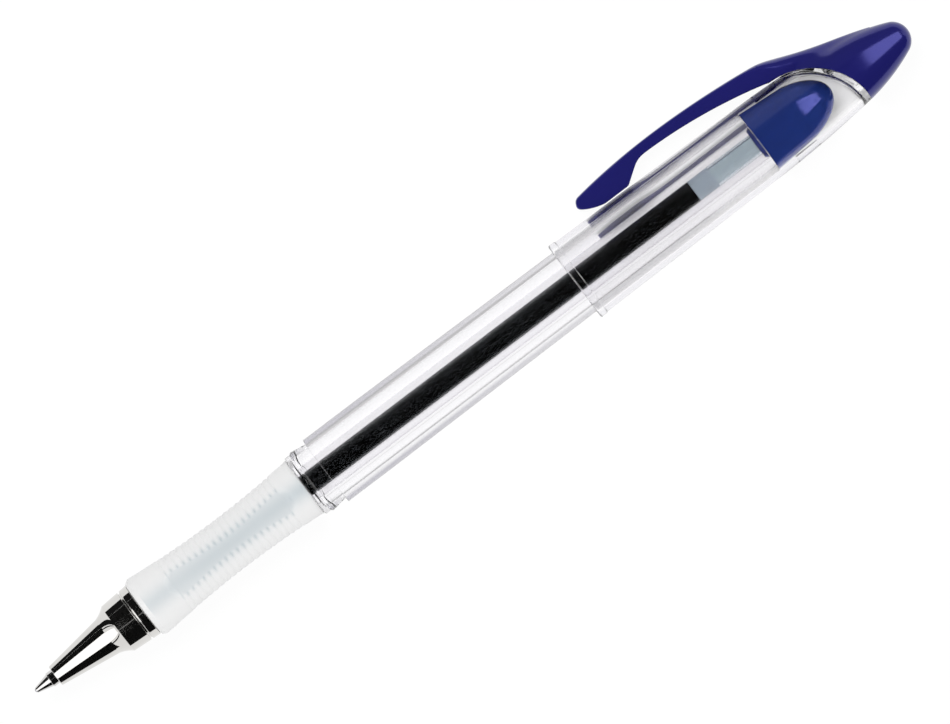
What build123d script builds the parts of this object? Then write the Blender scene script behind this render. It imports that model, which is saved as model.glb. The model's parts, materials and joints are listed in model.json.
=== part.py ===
from build123d import *
import os
from math import acos, atan2, cos, degrees, hypot, radians, sin, sqrt, tan

# Stick ballpoint pen with a plated nose cone, a ribbed rubber grip, a clear barrel and a clip cap
# posted on its tail. All sizes are in millimetres. Every piece is drawn lengthways on the X axis,
# from the writing tip at x = 0 towards the cap, with the clip straight up, and laid down at the end.

# Fits
running_play = 0.01
slip_fit = 0.05
weld_gap = 0.03

# Writing point
ball_diameter = 0.7
ball_stand_out = 0.25
lip_wall = 0.06
point_cone_length = 2.35
point_cone_radius = 0.99
point_shank_radius = 1.12
point_shank_length = 7.4
feed_radius = 0.3

# Refill
holder_wall = 0.48
holder_setback = 4.0
holder_flange_length = 0.8
holder_stem_length = 5.0
tube_radius = 1.65
tube_wall = 0.4
tube_empty_length = 13.75
follower_length = 3.4

# Nose cone
point_reach = 3.55
nose_lip_wall = 0.43
nose_cone_length = 9.1
nose_cone_radius = 2.86
nose_flare_length = 1.85
nose_flare_slope = 16.0
nose_base_wall = 1.22
nose_base_draft = 0.3
nose_base_length = 3.1
nose_groove_width = 0.25
nose_groove_depth = 0.25
nose_flange_length = 1.05

# Barrel
tube_play = 0.4
spigot_wall = 0.55
neck_wall = 0.95
barrel_radius = 5.33
barrel_length = 75.9
barrel_draft = 0.42
land_length = 8.5
seat_length = 3.6
seat_step = 0.62
snap_height = 0.36
snap_setback = 1.6
flange_drop = 0.5
flange_length = 0.9

# Grip
grip_length = 28.3
grip_wall = 0.92
grip_waist_at = 15.7
grip_front_swell = 0.83
grip_rear_swell = 0.58
grip_front_chamfer = 0.8
grip_rear_chamfer = 0.3
rib_count = 19
rib_pitch = 1.02
rib_height = 0.13
rib_start = 5.4
flat_count = 3
flat_inset = 0.2
flat_length = 20.8
flat_width = 4.4
flat_start = 5.0

# End plug
plug_step = 0.16
plug_length = 12.5
plug_draft = 0.5
plug_dome_length = 5.65
plug_dome_reach = 8.4
plug_boss_length = 0.6
plug_boss_wall = 0.95
plug_boss_taper = 0.4
plug_socket_depth = 2.4

# Cap
cap_depth = 46.0
cap_tail_gap = 1.2
cap_wall = 0.8
cap_mouth_play = 0.2
cap_bead_height = 0.11
cap_bead_length = 1.2
cap_bead_round = 0.3
cap_mouth_round = 0.2
head_length = 12.4
head_neck_at = 10.1
head_neck_drop = 1.0
head_dome_radius = 2.7
head_dome_slope = 21.0
cap_end_wall = 0.74
parting_setback = 1.45
parting_radius = 10.2
parting_sink = 0.09
cap_rib_setback = 3.0
cap_rib_count = 2
cap_rib_length = 3.6
cap_rib_width = 0.9
cap_rib_play = 0.1
tip_hole_radius = 1.95
tip_well_depth = 5.8
tip_well_end_radius = 0.9

# Clip
clip_length = 32.65
clip_knee_at = 0.57
clip_rise = 3.97
clip_crown_at = 15.6
clip_thickness = 1.67
clip_nose_drop = 0.95
clip_knee_drop = 1.23
clip_slope = 21.8
clip_underside_bulge = 0.7
clip_pad_start = 3.9
clip_belly = 0.26
clip_pad_length = 4.0
clip_pad_rise = 3.3
clip_nose_height = 1.75
clip_nose_setback = 0.8
clip_root_width = 5.2
clip_nose_width = 4.2
clip_tail_width = 1.8
clip_plan_round = 15.0
clip_edge_round = 0.5
clip_nose_round = 0.6
clip_inner_round = 1.2
clip_knee_round = 2.0

# Stations along the pen, from the writing tip
ball_radius = ball_diameter / 2
point_shoulder = ball_stand_out + point_cone_length
point_tail = point_shoulder + point_shank_length
nose_front = point_reach
nose_cone_end = nose_front + nose_cone_length
nose_base_start = nose_cone_end + nose_flare_length
nose_groove_start = nose_base_start + nose_base_length
nose_flange_start = nose_groove_start + nose_groove_width
nose_rear = nose_flange_start + nose_flange_length
holder_front = nose_front + holder_setback
holder_seat = nose_base_start
spigot_front = holder_seat + holder_flange_length
stem_rear = spigot_front + holder_stem_length
grip_front = nose_rear + slip_fit
grip_rear = grip_front + grip_length
flange_front = grip_rear + slip_fit
cavity_front = flange_front + flange_length
barrel_step = flange_front + seat_length
land_end = barrel_step + land_length
barrel_rear = barrel_step + barrel_length
tube_rear = barrel_rear + plug_socket_depth - slip_fit
ink_rear = tube_rear - tube_empty_length
plug_rear = barrel_rear + plug_length
plug_dome_start = plug_rear - plug_dome_length
cap_end = plug_rear + cap_tail_gap
cap_mouth = cap_end - cap_depth
head_rear = cap_end + head_length
head_neck = head_rear - head_neck_at

# Radii that follow from the fits
holder_radius = point_shank_radius + holder_wall
nose_hole_radius = point_shank_radius + slip_fit
nose_bore_radius = holder_radius + slip_fit
nose_mouth_radius = nose_hole_radius + nose_lip_wall
tube_bore_radius = tube_radius - tube_wall
stem_radius = tube_bore_radius - running_play
neck_bore_radius = tube_radius + tube_play
spigot_radius = neck_bore_radius + spigot_wall
neck_radius = neck_bore_radius + neck_wall
nose_socket_radius = spigot_radius + slip_fit
nose_base_radius = nose_socket_radius + nose_base_wall
grip_bore_radius = neck_radius + weld_gap
grip_waist_radius = grip_bore_radius + grip_wall
seat_radius = barrel_radius - seat_step
snap_radius = seat_radius + snap_height
flange_radius = barrel_radius - flange_drop
tail_radius = barrel_radius - barrel_draft
plug_front_radius = tail_radius - plug_step
plug_dome_radius = plug_front_radius - plug_draft
plug_socket_radius = tube_radius + slip_fit
plug_boss_radius = plug_socket_radius + plug_boss_wall
barrel_bore_radius = plug_boss_radius + slip_fit


def barrel_radius_at(x):
    """Outer radius of the barrel behind its land, where it narrows evenly to the tail."""
    share = (x - land_end) / (barrel_rear - land_end)
    return barrel_radius - barrel_draft * share


cap_mouth_bore = barrel_radius_at(cap_mouth) + cap_mouth_play
cap_tail_bore = tail_radius + slip_fit
cap_bore_slope = (cap_tail_bore - cap_mouth_bore) / (barrel_rear - cap_mouth)


def cap_bore_at(x):
    """Radius of the cap's tapered bore, which grips the barrel at its tail."""
    return cap_mouth_bore + cap_bore_slope * (x - cap_mouth)


def cap_wall_at(x):
    """Outer radius of the cap's straight wall."""
    return cap_bore_at(x) + cap_wall


cap_bead_radius = cap_wall_at(cap_mouth) + cap_bead_height
clip_crown_z = cap_wall_at(cap_mouth) + clip_rise
parting_top = cap_wall_at(barrel_rear) - parting_sink
parting_z = parting_top - parting_radius
parting_x = cap_end + parting_setback - sqrt(parting_radius**2 - parting_z**2)


def nose_base_at(x):
    """Radius of the nose cone's base, which widens evenly to the grip."""
    return nose_base_radius + nose_base_draft * (x - nose_base_start) / (nose_rear - nose_base_start)


def plug_radius_at(x):
    """Radius of the end plug's tapered side."""
    return plug_front_radius - plug_draft * (x - barrel_rear) / (plug_dome_start - barrel_rear)


def turned(outline):
    """Solid spun about the pen's axis from a closed outline of (x, radius)."""
    return revolve(make_face(outline), Axis.X)


def turned_points(*points):
    """Solid spun about the pen's axis from the corners of its half section."""
    return turned(Polyline(*points, close=True))


def rod(start, end, radius):
    """Plain cylinder on the pen's axis."""
    return turned_points((start, 0), (start, radius), (end, radius), (end, 0))


def rounded(face, corners, radius):
    """The same flat face with the named corners rounded off."""
    for corner in corners:
        face = fillet(face.vertices().sort_by_distance(corner)[0], radius)
    return face


def make_writing_ball():
    return Pos(ball_radius, 0, 0) * Sphere(ball_radius)


def make_point_socket():
    """Cone, shoulder and shank, with the ball's seat under a crimped lip and the feed channel."""
    seat_radius_of_ball = ball_radius + running_play
    lip_opening = sqrt(seat_radius_of_ball**2 - (ball_radius - ball_stand_out) ** 2)
    lip_radius = lip_opening + lip_wall
    blank = turned_points(
        (ball_stand_out, 0),
        (ball_stand_out, lip_radius),
        (point_shoulder, point_cone_radius),
        (point_shoulder, point_shank_radius),
        (point_tail, point_shank_radius),
        (point_tail, 0),
    )
    seat = Pos(ball_radius, 0, 0) * Sphere(seat_radius_of_ball)
    return blank - seat - rod(ball_radius, point_tail, feed_radius)


def make_tip_holder():
    """Sleeve over the point's shank, a flange that is clamped, and a stem pressed into the tube."""
    blank = turned_points(
        (holder_front, 0),
        (holder_front, holder_radius),
        (holder_seat, holder_radius),
        (holder_seat, spigot_radius),
        (spigot_front, spigot_radius),
        (spigot_front, stem_radius),
        (stem_rear, stem_radius),
        (stem_rear, 0),
    )
    socket = rod(holder_front, point_tail + running_play, point_shank_radius + running_play)
    return blank - socket - rod(point_tail, stem_rear, feed_radius)


def make_refill_tube():
    return rod(spigot_front, tube_rear, tube_radius) - rod(spigot_front, tube_rear, tube_bore_radius)


def make_ink_column():
    """Ink in the tube, with a thread of it in the feed channel up to the ball."""
    ink_radius = tube_bore_radius - running_play
    thread_radius = feed_radius - running_play
    feed_front = ball_diameter + lip_wall
    return turned_points(
        (feed_front, 0),
        (feed_front, thread_radius),
        (stem_rear + running_play, thread_radius),
        (stem_rear + running_play, ink_radius),
        (ink_rear, ink_radius),
        (ink_rear, 0),
    )


def make_ink_follower():
    return rod(ink_rear, ink_rear + follower_length, tube_bore_radius - running_play)


def make_nose_cone():
    """Straight cone that flares into a base ring, a thin groove and the flange against the grip."""
    flare_start = (nose_cone_end, nose_cone_radius)
    flare_end = (nose_base_start, nose_base_radius)
    flare_way = (cos(radians(nose_flare_slope)), sin(radians(nose_flare_slope)))
    groove_radius = nose_base_at(nose_groove_start) - nose_groove_depth
    outline = Polyline((nose_front, 0), (nose_front, nose_mouth_radius), flare_start)
    outline += TangentArc(flare_start, flare_end, tangent=flare_way)
    outline += Polyline(
        flare_end,
        (nose_groove_start, nose_base_at(nose_groove_start)),
        (nose_groove_start, groove_radius),
        (nose_flange_start, groove_radius),
        (nose_flange_start, nose_base_at(nose_flange_start)),
        (nose_rear, nose_base_at(nose_rear)),
        (nose_rear, 0),
        (nose_front, 0),
    )
    hole = rod(nose_front, holder_front, nose_hole_radius)
    bore = rod(holder_front - slip_fit, holder_seat, nose_bore_radius)
    socket = rod(holder_seat, nose_rear, nose_socket_radius)
    return turned(outline) - hole - bore - socket


def make_barrel():
    """Spigot, neck, flange, cap seat with its snap bead, land and a tapered tube with a straight bore."""
    snap_peak = flange_front + snap_setback
    snap_start = (cavity_front, flange_radius)
    snap_end = (barrel_step, seat_radius)
    outline = Polyline(
        (spigot_front, 0),
        (spigot_front, spigot_radius),
        (nose_rear, spigot_radius),
        (nose_rear, neck_radius),
        (flange_front, neck_radius),
        (flange_front, flange_radius),
        snap_start,
    )
    outline += ThreePointArc(snap_start, (snap_peak, snap_radius), snap_end)
    outline += Polyline(
        snap_end,
        (barrel_step, barrel_radius),
        (land_end, barrel_radius),
        (barrel_rear, tail_radius),
        (barrel_rear, 0),
        (spigot_front, 0),
    )
    bore = rod(cavity_front, barrel_rear, barrel_bore_radius)
    return turned(outline) - bore - rod(spigot_front, cavity_front, neck_bore_radius)


def grip_radius_at(x):
    """Outer radius of the grip without its ribs: two parabolas that meet at the waist."""
    waist = grip_front + grip_waist_at
    front_share = max(0.0, (waist - x) / grip_waist_at)
    rear_share = max(0.0, (x - waist) / (grip_length - grip_waist_at))
    return grip_waist_radius + grip_front_swell * front_share**2 + grip_rear_swell * rear_share**2


def make_grip_sleeve():
    """Waisted sleeve with ring ribs, and finger flats cut into it side by side around the axis."""
    crest_start = grip_front + grip_front_chamfer
    rib_first = grip_front + rib_start
    rib_last = rib_first + rib_count * rib_pitch
    corners = [(grip_front, 0), (grip_front, grip_radius_at(crest_start) - grip_front_chamfer / 2)]
    for x in (crest_start, (crest_start + rib_first) / 2):
        corners.append((x, grip_radius_at(x)))
    for rib in range(rib_count):
        valley = rib_first + rib * rib_pitch
        crest = valley + rib_pitch / 2
        corners.append((valley, grip_radius_at(valley) - rib_height))
        corners.append((crest, grip_radius_at(crest)))
    corners.append((rib_last, grip_radius_at(rib_last) - rib_height))
    rear_start = grip_rear - grip_rear_chamfer
    corners.append((rear_start, grip_radius_at(rear_start)))
    corners.append((grip_rear, grip_radius_at(rear_start) - grip_rear_chamfer))
    corners.append((grip_rear, 0))
    sleeve = turned_points(*corners) - rod(grip_front, grip_rear, grip_bore_radius)

    flat_middle = grip_front + flat_start + flat_length / 2
    flat_plane = Plane((flat_middle, 0, grip_waist_radius - flat_inset))
    cutter = extrude(flat_plane * SlotOverall(flat_length, flat_width), barrel_radius)
    for step in range(flat_count):
        sleeve -= Rot(X=90 + 360 * step / flat_count) * cutter
    return sleeve


def make_end_plug():
    """Domed plug welded to the barrel's tail, with a small boss that centres the refill."""
    dome_turn = acos(1 - plug_dome_length / plug_dome_reach)
    dome_height = plug_dome_radius / sin(dome_turn)
    dome_middle = (plug_rear - plug_dome_reach, 0)
    dome = EllipticalCenterArc(dome_middle, plug_dome_reach, dome_height, arc_size=degrees(dome_turn))
    boss_front = barrel_rear - plug_boss_length
    outline = Polyline(
        (plug_rear, 0),
        (boss_front, 0),
        (boss_front, plug_boss_radius - plug_boss_taper),
        (barrel_rear, plug_boss_radius),
        (barrel_rear, plug_front_radius),
        (plug_dome_start, plug_dome_radius),
    )
    return turned(outline + dome) - rod(boss_front, barrel_rear + plug_socket_depth, plug_socket_radius)


def make_cap_blank():
    """Outside of cap and head as one body: bead, tapered wall, shoulder and domed end."""
    bead_end = cap_mouth + cap_bead_length
    bead_face = cap_bead_radius - cap_bead_round
    shoulder_start = (barrel_rear, cap_wall_at(barrel_rear))
    neck = (head_neck, cap_wall_at(barrel_rear) - head_neck_drop)
    dome_x = head_rear - head_dome_radius
    lean = radians(head_dome_slope)
    dome_start = (dome_x + head_dome_radius * sin(lean), head_dome_radius * cos(lean))
    shoulder = TangentArc(shoulder_start, neck, tangent=(1, cap_bore_slope))
    outline = Polyline((cap_mouth, 0), (cap_mouth, bead_face))
    bead_start = (cap_mouth + cap_bead_round, cap_bead_radius)
    outline += RadiusArc((cap_mouth, bead_face), bead_start, cap_bead_round)
    outline += Polyline(
        bead_start,
        (bead_end - cap_bead_height, cap_bead_radius),
        (bead_end, cap_wall_at(bead_end)),
        shoulder_start,
    )
    outline += shoulder
    outline += TangentArc(neck, dome_start, tangent=shoulder % 1)
    outline += CenterArc((dome_x, 0), head_dome_radius, 0, 90 - head_dome_slope)
    outline += Line((head_rear, 0), (cap_mouth, 0))
    return turned(outline)


def parting_cylinder(radius):
    """Curved surface, straight from side to side, where the clear cap meets the blue head."""
    across = 4 * cap_bead_radius
    return Pos(parting_x, 0, parting_z) * Rot(X=90) * Cylinder(radius, across)


def before_parting(radius):
    """All the room on the clear cap's side of a parting surface with that radius."""
    reach = 4 * cap_bead_radius
    front_box = Box(parting_x - cap_mouth, reach, reach, align=(Align.MAX, Align.CENTER, Align.CENTER))
    return Pos(parting_x, 0, 0) * front_box + parting_cylinder(radius)


def make_cap_body(blank):
    """Clear tube of even wall, closed by the parting surface, with a hole that lets the pen's tip through."""
    bore_bend = (barrel_rear, cap_tail_bore)
    bore_end = (head_neck, cap_tail_bore - head_neck_drop)
    bore_outline = Polyline(
        (cap_mouth, 0),
        (cap_mouth, cap_mouth_bore + cap_mouth_round),
        (cap_mouth + cap_mouth_round, cap_mouth_bore),
        bore_bend,
    )
    bore_outline += TangentArc(bore_bend, bore_end, tangent=(1, cap_bore_slope))
    bore_outline += Polyline(bore_end, (head_neck, 0), (cap_mouth, 0))
    cavity = turned(bore_outline) & before_parting(parting_radius - cap_end_wall)
    body = (blank & before_parting(parting_radius)) - cavity - rod(barrel_rear, head_rear, tip_hole_radius)

    rib_start_x = barrel_rear + cap_rib_setback
    rib_low = plug_radius_at(rib_start_x) + cap_rib_play
    rib_high = cap_bore_at(rib_start_x) + cap_wall / 2
    rib = Box(cap_rib_length, cap_rib_width, rib_high - rib_low, align=(Align.MIN, Align.CENTER, Align.MIN))
    for step in range(cap_rib_count):
        body += Rot(X=360 * step / cap_rib_count) * Pos(rib_start_x, 0, rib_low) * rib
    return body


def make_clip_arm():
    """Clip arm with its arched back, hollow underside and pad, as a side outline with width."""
    knee_x = parting_x + clip_knee_at
    nose_x = knee_x - clip_length
    pad_x = nose_x + clip_pad_start
    pad_z = cap_wall_at(pad_x) + slip_fit
    root = (parting_x, parting_top + slip_fit)
    nose_low = (nose_x, pad_z + clip_nose_height)
    nose_top = (nose_x + clip_nose_setback, clip_crown_z - clip_nose_drop)
    knee = (knee_x, clip_crown_z - clip_knee_drop)
    arch_start = (pad_x + clip_pad_length + clip_pad_rise, clip_crown_z - clip_thickness)
    arch_middle = ((arch_start[0] + root[0]) / 2, (arch_start[1] + root[1]) / 2 + clip_underside_bulge)
    slope_end = (knee_x + (knee[1] - head_dome_radius) / tan(radians(clip_slope)), head_dome_radius)
    pad = (pad_x, pad_z)
    belly = ((nose_low[0] + pad[0]) / 2, (nose_low[1] + pad[1]) / 2 - clip_belly)

    outline = ThreePointArc(nose_low, belly, pad)
    outline += Polyline(pad, (pad_x + clip_pad_length, pad_z), arch_start)
    outline += ThreePointArc(arch_start, arch_middle, root)
    outline += Polyline(root, (slope_end[0], 0), slope_end, knee)
    outline += ThreePointArc(knee, (nose_x + clip_crown_at, clip_crown_z), nose_top)
    outline += Line(nose_top, nose_low)
    side = rounded(make_face(outline), [nose_low, nose_top], clip_nose_round)
    side = rounded(rounded(side, [arch_start], clip_inner_round), [knee], clip_knee_round)

    nose_corners = [(nose_x, -clip_nose_width / 2), (nose_x, clip_nose_width / 2)]
    knee_corners = [(knee_x, clip_root_width / 2), (knee_x, -clip_root_width / 2)]
    tail_corners = [(slope_end[0], clip_tail_width / 2), (slope_end[0], -clip_tail_width / 2)]
    plan = make_face(Polyline(*nose_corners, knee_corners[0], *tail_corners, knee_corners[1], close=True))
    plan = rounded(rounded(plan, knee_corners, clip_plan_round), nose_corners, clip_nose_round)

    arm = extrude(Plane.XZ * side, clip_root_width, both=True) & extrude(plan, clip_crown_z + clip_thickness)
    steepest = cos(radians(2 * clip_slope))
    back = arm.faces().filter_by(lambda face: face.normal_at(face.center()).Z > steepest)
    back_edges = back.edges().filter_by(lambda edge: abs((edge @ 0.5).Y) > clip_tail_width / 3)
    return fillet(back_edges, clip_edge_round)


def make_cap_clip(blank):
    """Blue moulding: clip arm and cap head in one, seated on the clear cap's curved end."""
    reach = 4 * cap_bead_radius
    rear_box = Box(reach, reach, reach, align=(Align.MIN, Align.CENTER, Align.CENTER))
    head = blank & (Pos(parting_x, 0, 0) * rear_box)
    well = turned_points(
        (cap_end, 0),
        (cap_end, tip_hole_radius),
        (cap_end + tip_well_depth, tip_well_end_radius),
        (cap_end + tip_well_depth, 0),
    )
    return head + make_clip_arm() - parting_cylinder(parting_radius + weld_gap) - well


cap_blank = make_cap_blank()
pieces = {
    "writing_ball": make_writing_ball(),
    "point_socket": make_point_socket(),
    "tip_holder": make_tip_holder(),
    "refill_tube": make_refill_tube(),
    "ink_column": make_ink_column(),
    "ink_follower": make_ink_follower(),
    "nose_cone": make_nose_cone(),
    "grip_sleeve": make_grip_sleeve(),
    "barrel": make_barrel(),
    "end_plug": make_end_plug(),
    "cap_body": make_cap_body(cap_blank),
    "cap_clip": make_cap_clip(cap_blank),
}

# The pen lies on its side, turned about its axis until the clip's back edge and the cap's bead
# are level: clip_to_table is the angle from the clip's direction to straight down.
crown_width = clip_nose_width + (clip_root_width - clip_nose_width) * clip_crown_at / clip_length
edge_across = crown_width / 2 - clip_edge_round
edge_up = clip_crown_z - clip_edge_round
edge_away = hypot(edge_across, edge_up)
clip_to_table = atan2(edge_across, edge_up) + acos((cap_bead_radius - clip_edge_round) / edge_away)
laid = {name: Rot(X=degrees(clip_to_table) - 180) * piece for name, piece in pieces.items()}

# The origin is on the table, under the middle of the pen's box
box = Compound(list(laid.values())).bounding_box()
to_origin = Pos(-box.center().X, -box.center().Y, -box.min.Z)

os.makedirs("parts", exist_ok=True)
for name, piece in laid.items():
    export_step(to_origin * piece, f"parts/{name}.step")
print("size", box.size, "tip", to_origin.position, "clip to table", degrees(clip_to_table))
print("barrel step", barrel_step, "land end", land_end, "cap mouth", cap_mouth, "plug rear", plug_rear)
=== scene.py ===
# %% [markdown]
# # A stick ballpoint pen, skin by skin
# The pen lies on its side with its cap posted on its tail: a plated nose, a rubber grip, a clear barrel
# round a black refill, a blue end plug, and a clear cap with a blue clip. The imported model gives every
# piece its place. Each piece then gets a finer skin here, worked out as a grid of points, and its finish.

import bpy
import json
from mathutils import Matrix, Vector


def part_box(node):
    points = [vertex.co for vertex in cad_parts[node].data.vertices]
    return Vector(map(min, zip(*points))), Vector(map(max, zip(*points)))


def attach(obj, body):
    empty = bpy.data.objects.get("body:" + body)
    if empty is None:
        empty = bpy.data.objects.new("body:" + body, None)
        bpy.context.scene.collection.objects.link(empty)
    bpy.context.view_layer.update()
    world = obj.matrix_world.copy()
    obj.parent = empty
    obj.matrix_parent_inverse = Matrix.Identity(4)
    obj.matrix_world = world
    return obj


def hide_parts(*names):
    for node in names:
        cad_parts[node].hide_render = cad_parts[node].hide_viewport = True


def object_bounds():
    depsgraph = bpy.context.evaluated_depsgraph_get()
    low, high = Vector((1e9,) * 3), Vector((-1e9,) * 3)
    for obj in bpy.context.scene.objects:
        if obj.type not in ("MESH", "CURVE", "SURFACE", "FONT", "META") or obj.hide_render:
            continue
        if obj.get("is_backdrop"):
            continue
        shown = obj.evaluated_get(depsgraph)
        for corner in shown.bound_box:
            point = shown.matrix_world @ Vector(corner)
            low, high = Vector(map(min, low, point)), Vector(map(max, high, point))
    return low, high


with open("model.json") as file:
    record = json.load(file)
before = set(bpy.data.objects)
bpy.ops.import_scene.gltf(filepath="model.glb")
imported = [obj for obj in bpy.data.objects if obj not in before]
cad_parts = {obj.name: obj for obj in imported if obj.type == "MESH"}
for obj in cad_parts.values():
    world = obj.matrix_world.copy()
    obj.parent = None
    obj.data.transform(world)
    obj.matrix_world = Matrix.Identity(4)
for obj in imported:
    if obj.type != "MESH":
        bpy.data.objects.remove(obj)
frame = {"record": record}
cad_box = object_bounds()

# %% [markdown]
# ## The pen's own directions
# A pen is easiest to describe along its axis, in millimetres from the writing tip. The ball's box tells
# where the tip is, and the mount under the clip tells which way the clip points, so the skins follow the
# frame however the pen was laid down.

# %% Find the tip and the clip's direction
import json

import bmesh
import bpy
import numpy as np
from mathutils import Matrix, Vector

MM = 0.001
ball_low, ball_high = (np.array(corner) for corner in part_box("writing_ball"))
tip = (ball_low + ball_high) / 2
tip[0] = ball_low[0]
mounts = {mount["name"]: np.array(mount["pos_m"]) for mount in frame["record"]["mounts"]}
along = np.array((1.0, 0.0, 0.0))
clip_way = (mounts["clip_gap"] - tip) * (0, 1, 1)
clip_way /= np.linalg.norm(clip_way)
side_way = np.cross(clip_way, along)
viewer_way = -side_way


def to_frame(points):
    """Pen millimetres (x from the tip, y sideways, z towards the clip) as metres of the frame."""
    return tip + MM * points @ np.stack([along, side_way, clip_way])


def span(node):
    """Where a CAD node starts and ends along the pen, in millimetres from the tip."""
    low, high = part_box(node)
    return round((low[0] - tip[0]) / MM, 3), round((high[0] - tip[0]) / MM, 3)


def girth(node):
    """Largest radius of a turned CAD node, in millimetres."""
    low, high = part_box(node)
    return round((high[2] - low[2]) / MM / 2, 2)


print("tip", tip.round(5), "clip points", clip_way.round(4))

# %% [markdown]
# ## Outlines
# Most pieces of a pen are turned or moulded round, so half a section says it all. Real edges are never
# knife sharp: a small round on each corner catches the light. A corner is cut back on both runs and
# bridged by a quadratic curve. Two short holding stretches beside it keep the long runs shaded straight.
# An outline that closes on itself starts and ends a little way along a straight bore, where no edge is.

# %% Rounded outlines and tangent arcs
HOLD = 0.03
ROUND_STEPS = 5
LOOP_START = 1.0
CRISP_EDGE = 0.02
FINE_EDGE = 0.05
SOFT_EDGE = 0.1


def rounded_path(*corners):
    """Outline through corners (x, radius, round).

    Corner P is cut back by its round to A and B on its two runs, and bridged by
    (1 - s)^2 A + 2 s (1 - s) P + s^2 B for s from 0 to 1.
    """
    corners = np.array(corners, float)
    points, rounds = corners[:, :2], corners[:, 2:]
    runs = np.diff(points, axis=0)
    lengths = np.linalg.norm(runs, axis=1, keepdims=True)
    ways = runs / lengths
    hold = np.minimum(HOLD, (lengths - rounds[:-1] - rounds[1:]) / 3)
    middle = points[1:-1]
    before = middle - ways[:-1] * rounds[1:-1]
    after = middle + ways[1:] * rounds[1:-1]
    s = np.linspace(0, 1, ROUND_STEPS)[:, None, None]
    curves = (1 - s) ** 2 * before + 2 * s * (1 - s) * middle + s**2 * after
    held = [(before - ways[:-1] * hold[:-1])[None], curves, (after + ways[1:] * hold[1:])[None]]
    bends = np.concatenate(held).transpose(1, 0, 2).reshape(-1, 2)
    return np.concatenate([points[:1], bends, points[-1:]])


def evenly_rounded(edge, *corners):
    """Outline through corners (x, radius), all rounded by the same edge apart from the two ends."""
    rounds = np.pad(np.full((len(corners) - 2, 1), edge), ((1, 1), (0, 0)))
    return rounded_path(*np.hstack([corners, rounds]))


def tangent_arc(start, way, end, steps=24):
    """Arc that leaves start along way d and reaches end: start + R (sin t d + (1 - cos t) n).

    n is square to d on the end's side, R = q.q / (2 q.n) for the chord q, and t runs to twice the
    angle between d and q. Returns the points and the way in which the arc arrives.
    """
    start, way, chord = np.array(start, float), np.array(way, float), np.subtract(end, start)
    way = way / np.linalg.norm(way)
    across = chord - way * (chord @ way)
    across = across / np.linalg.norm(across)
    radius = chord @ chord / (2 * chord @ across)
    sweep = 2 * np.arctan2(chord @ across, chord @ way)
    t = np.linspace(0, sweep, steps)[:, None]
    points = start + radius * (np.sin(t) * way + (1 - np.cos(t)) * across)
    return points, np.cos(sweep) * way + np.sin(sweep) * across


def elliptic_end(start, end, radius, reach, steps=40):
    """Part of an ellipse from the wall to the axis: (end - reach (1 - cos t), radius sin t / sin t0).

    t runs from t0, where the ellipse meets the wall, down to 0, and reach is its half length.
    """
    t0 = np.arccos(1 - (end - start) / reach)
    t = np.linspace(t0, 0, steps)
    return np.stack([end - reach * (1 - np.cos(t)), radius * np.sin(t) / np.sin(t0)], -1)


# %% [markdown]
# ## From grid to mesh
# Blender could spin an outline with its Screw modifier. A grid does the same and more: rows run along
# the outline, columns run round the axis, and a piece that isn't quite round only needs a radius that
# also depends on the angle. Doubled points at poles are merged, and the faces are turned outwards.

# %% Skins
COLUMNS = 160
MERGE = 1e-4
SHARP = np.radians(35)
turn = np.arange(COLUMNS) * 2 * np.pi / COLUMNS


def spin(x, r, angle=turn):
    """Points at height x and radius r, turned to each angle f: (x, r sin f, r cos f)."""
    return np.stack(np.broadcast_arrays(x, r * np.sin(angle), r * np.cos(angle)), -1)


def placed(name, data):
    """New object at the origin, linked into the scene."""
    item = bpy.data.objects.new(name, data)
    bpy.context.scene.collection.objects.link(item)
    return item


def skin(name, grid, closed, **values):
    """Closed mesh of a grid: quad (i, j) joins rows i, i + 1 and columns j, j + 1.

    Columns meet themselves round the axis, and rows do so where the outline is a closed loop. Named
    values, one for each point of the grid, go into the mesh as attributes that a finish can read.
    """
    rows, columns = grid.shape[:2]
    i, j = np.meshgrid(np.arange(rows if closed else rows - 1), np.arange(columns), indexing="ij")
    below, beside = (i + 1) % rows, (j + 1) % columns
    corners = [i * columns + j, i * columns + beside, below * columns + beside, below * columns + j]
    mesh = bpy.data.meshes.new(name)
    quads = np.stack(corners, -1).reshape(-1, 4)
    mesh.from_pydata(to_frame(grid).reshape(-1, 3).tolist(), [], quads.tolist())
    for value_name, value in values.items():
        mesh.attributes.new(value_name, "FLOAT", "POINT").data.foreach_set("value", value.ravel())
    tidy = bmesh.new()
    tidy.from_mesh(mesh)
    bmesh.ops.remove_doubles(tidy, verts=tidy.verts, dist=MERGE * MM)
    bmesh.ops.recalc_face_normals(tidy, faces=tidy.faces)
    tidy.to_mesh(mesh)
    tidy.free()
    mesh.shade_smooth()
    mesh.set_sharp_from_angle(angle=SHARP)
    return placed(name, mesh)


def turned(name, outline, **values):
    """Skin of an outline of (x, radius) spun round the axis; off the axis it is a closed loop.

    Named values, one for each point of the outline, are the same all round.
    """
    rings = {value_name: np.repeat(value, COLUMNS) for value_name, value in values.items()}
    return skin(name, spin(outline[:, :1], outline[:, 1:]), closed=outline[:, 1].min() > 0, **rings)


def dress(piece, node, body, material):
    """The piece stands for its CAD node, moves with its body and wears its finish."""
    piece.data.materials.append(material)
    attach(piece, body)
    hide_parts(node)
    print(piece.name, "has", len(piece.data.polygons), "faces and stands for", node)


# %% [markdown]
# ## Finishes
# Every finish is one Principled shader fed by patterns that read Object coordinates, which are metres
# here, so a noise scale of 1000 has features of about a millimetre. Numbers that are the same all over
# the piece stay on the shader's own sockets.

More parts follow.
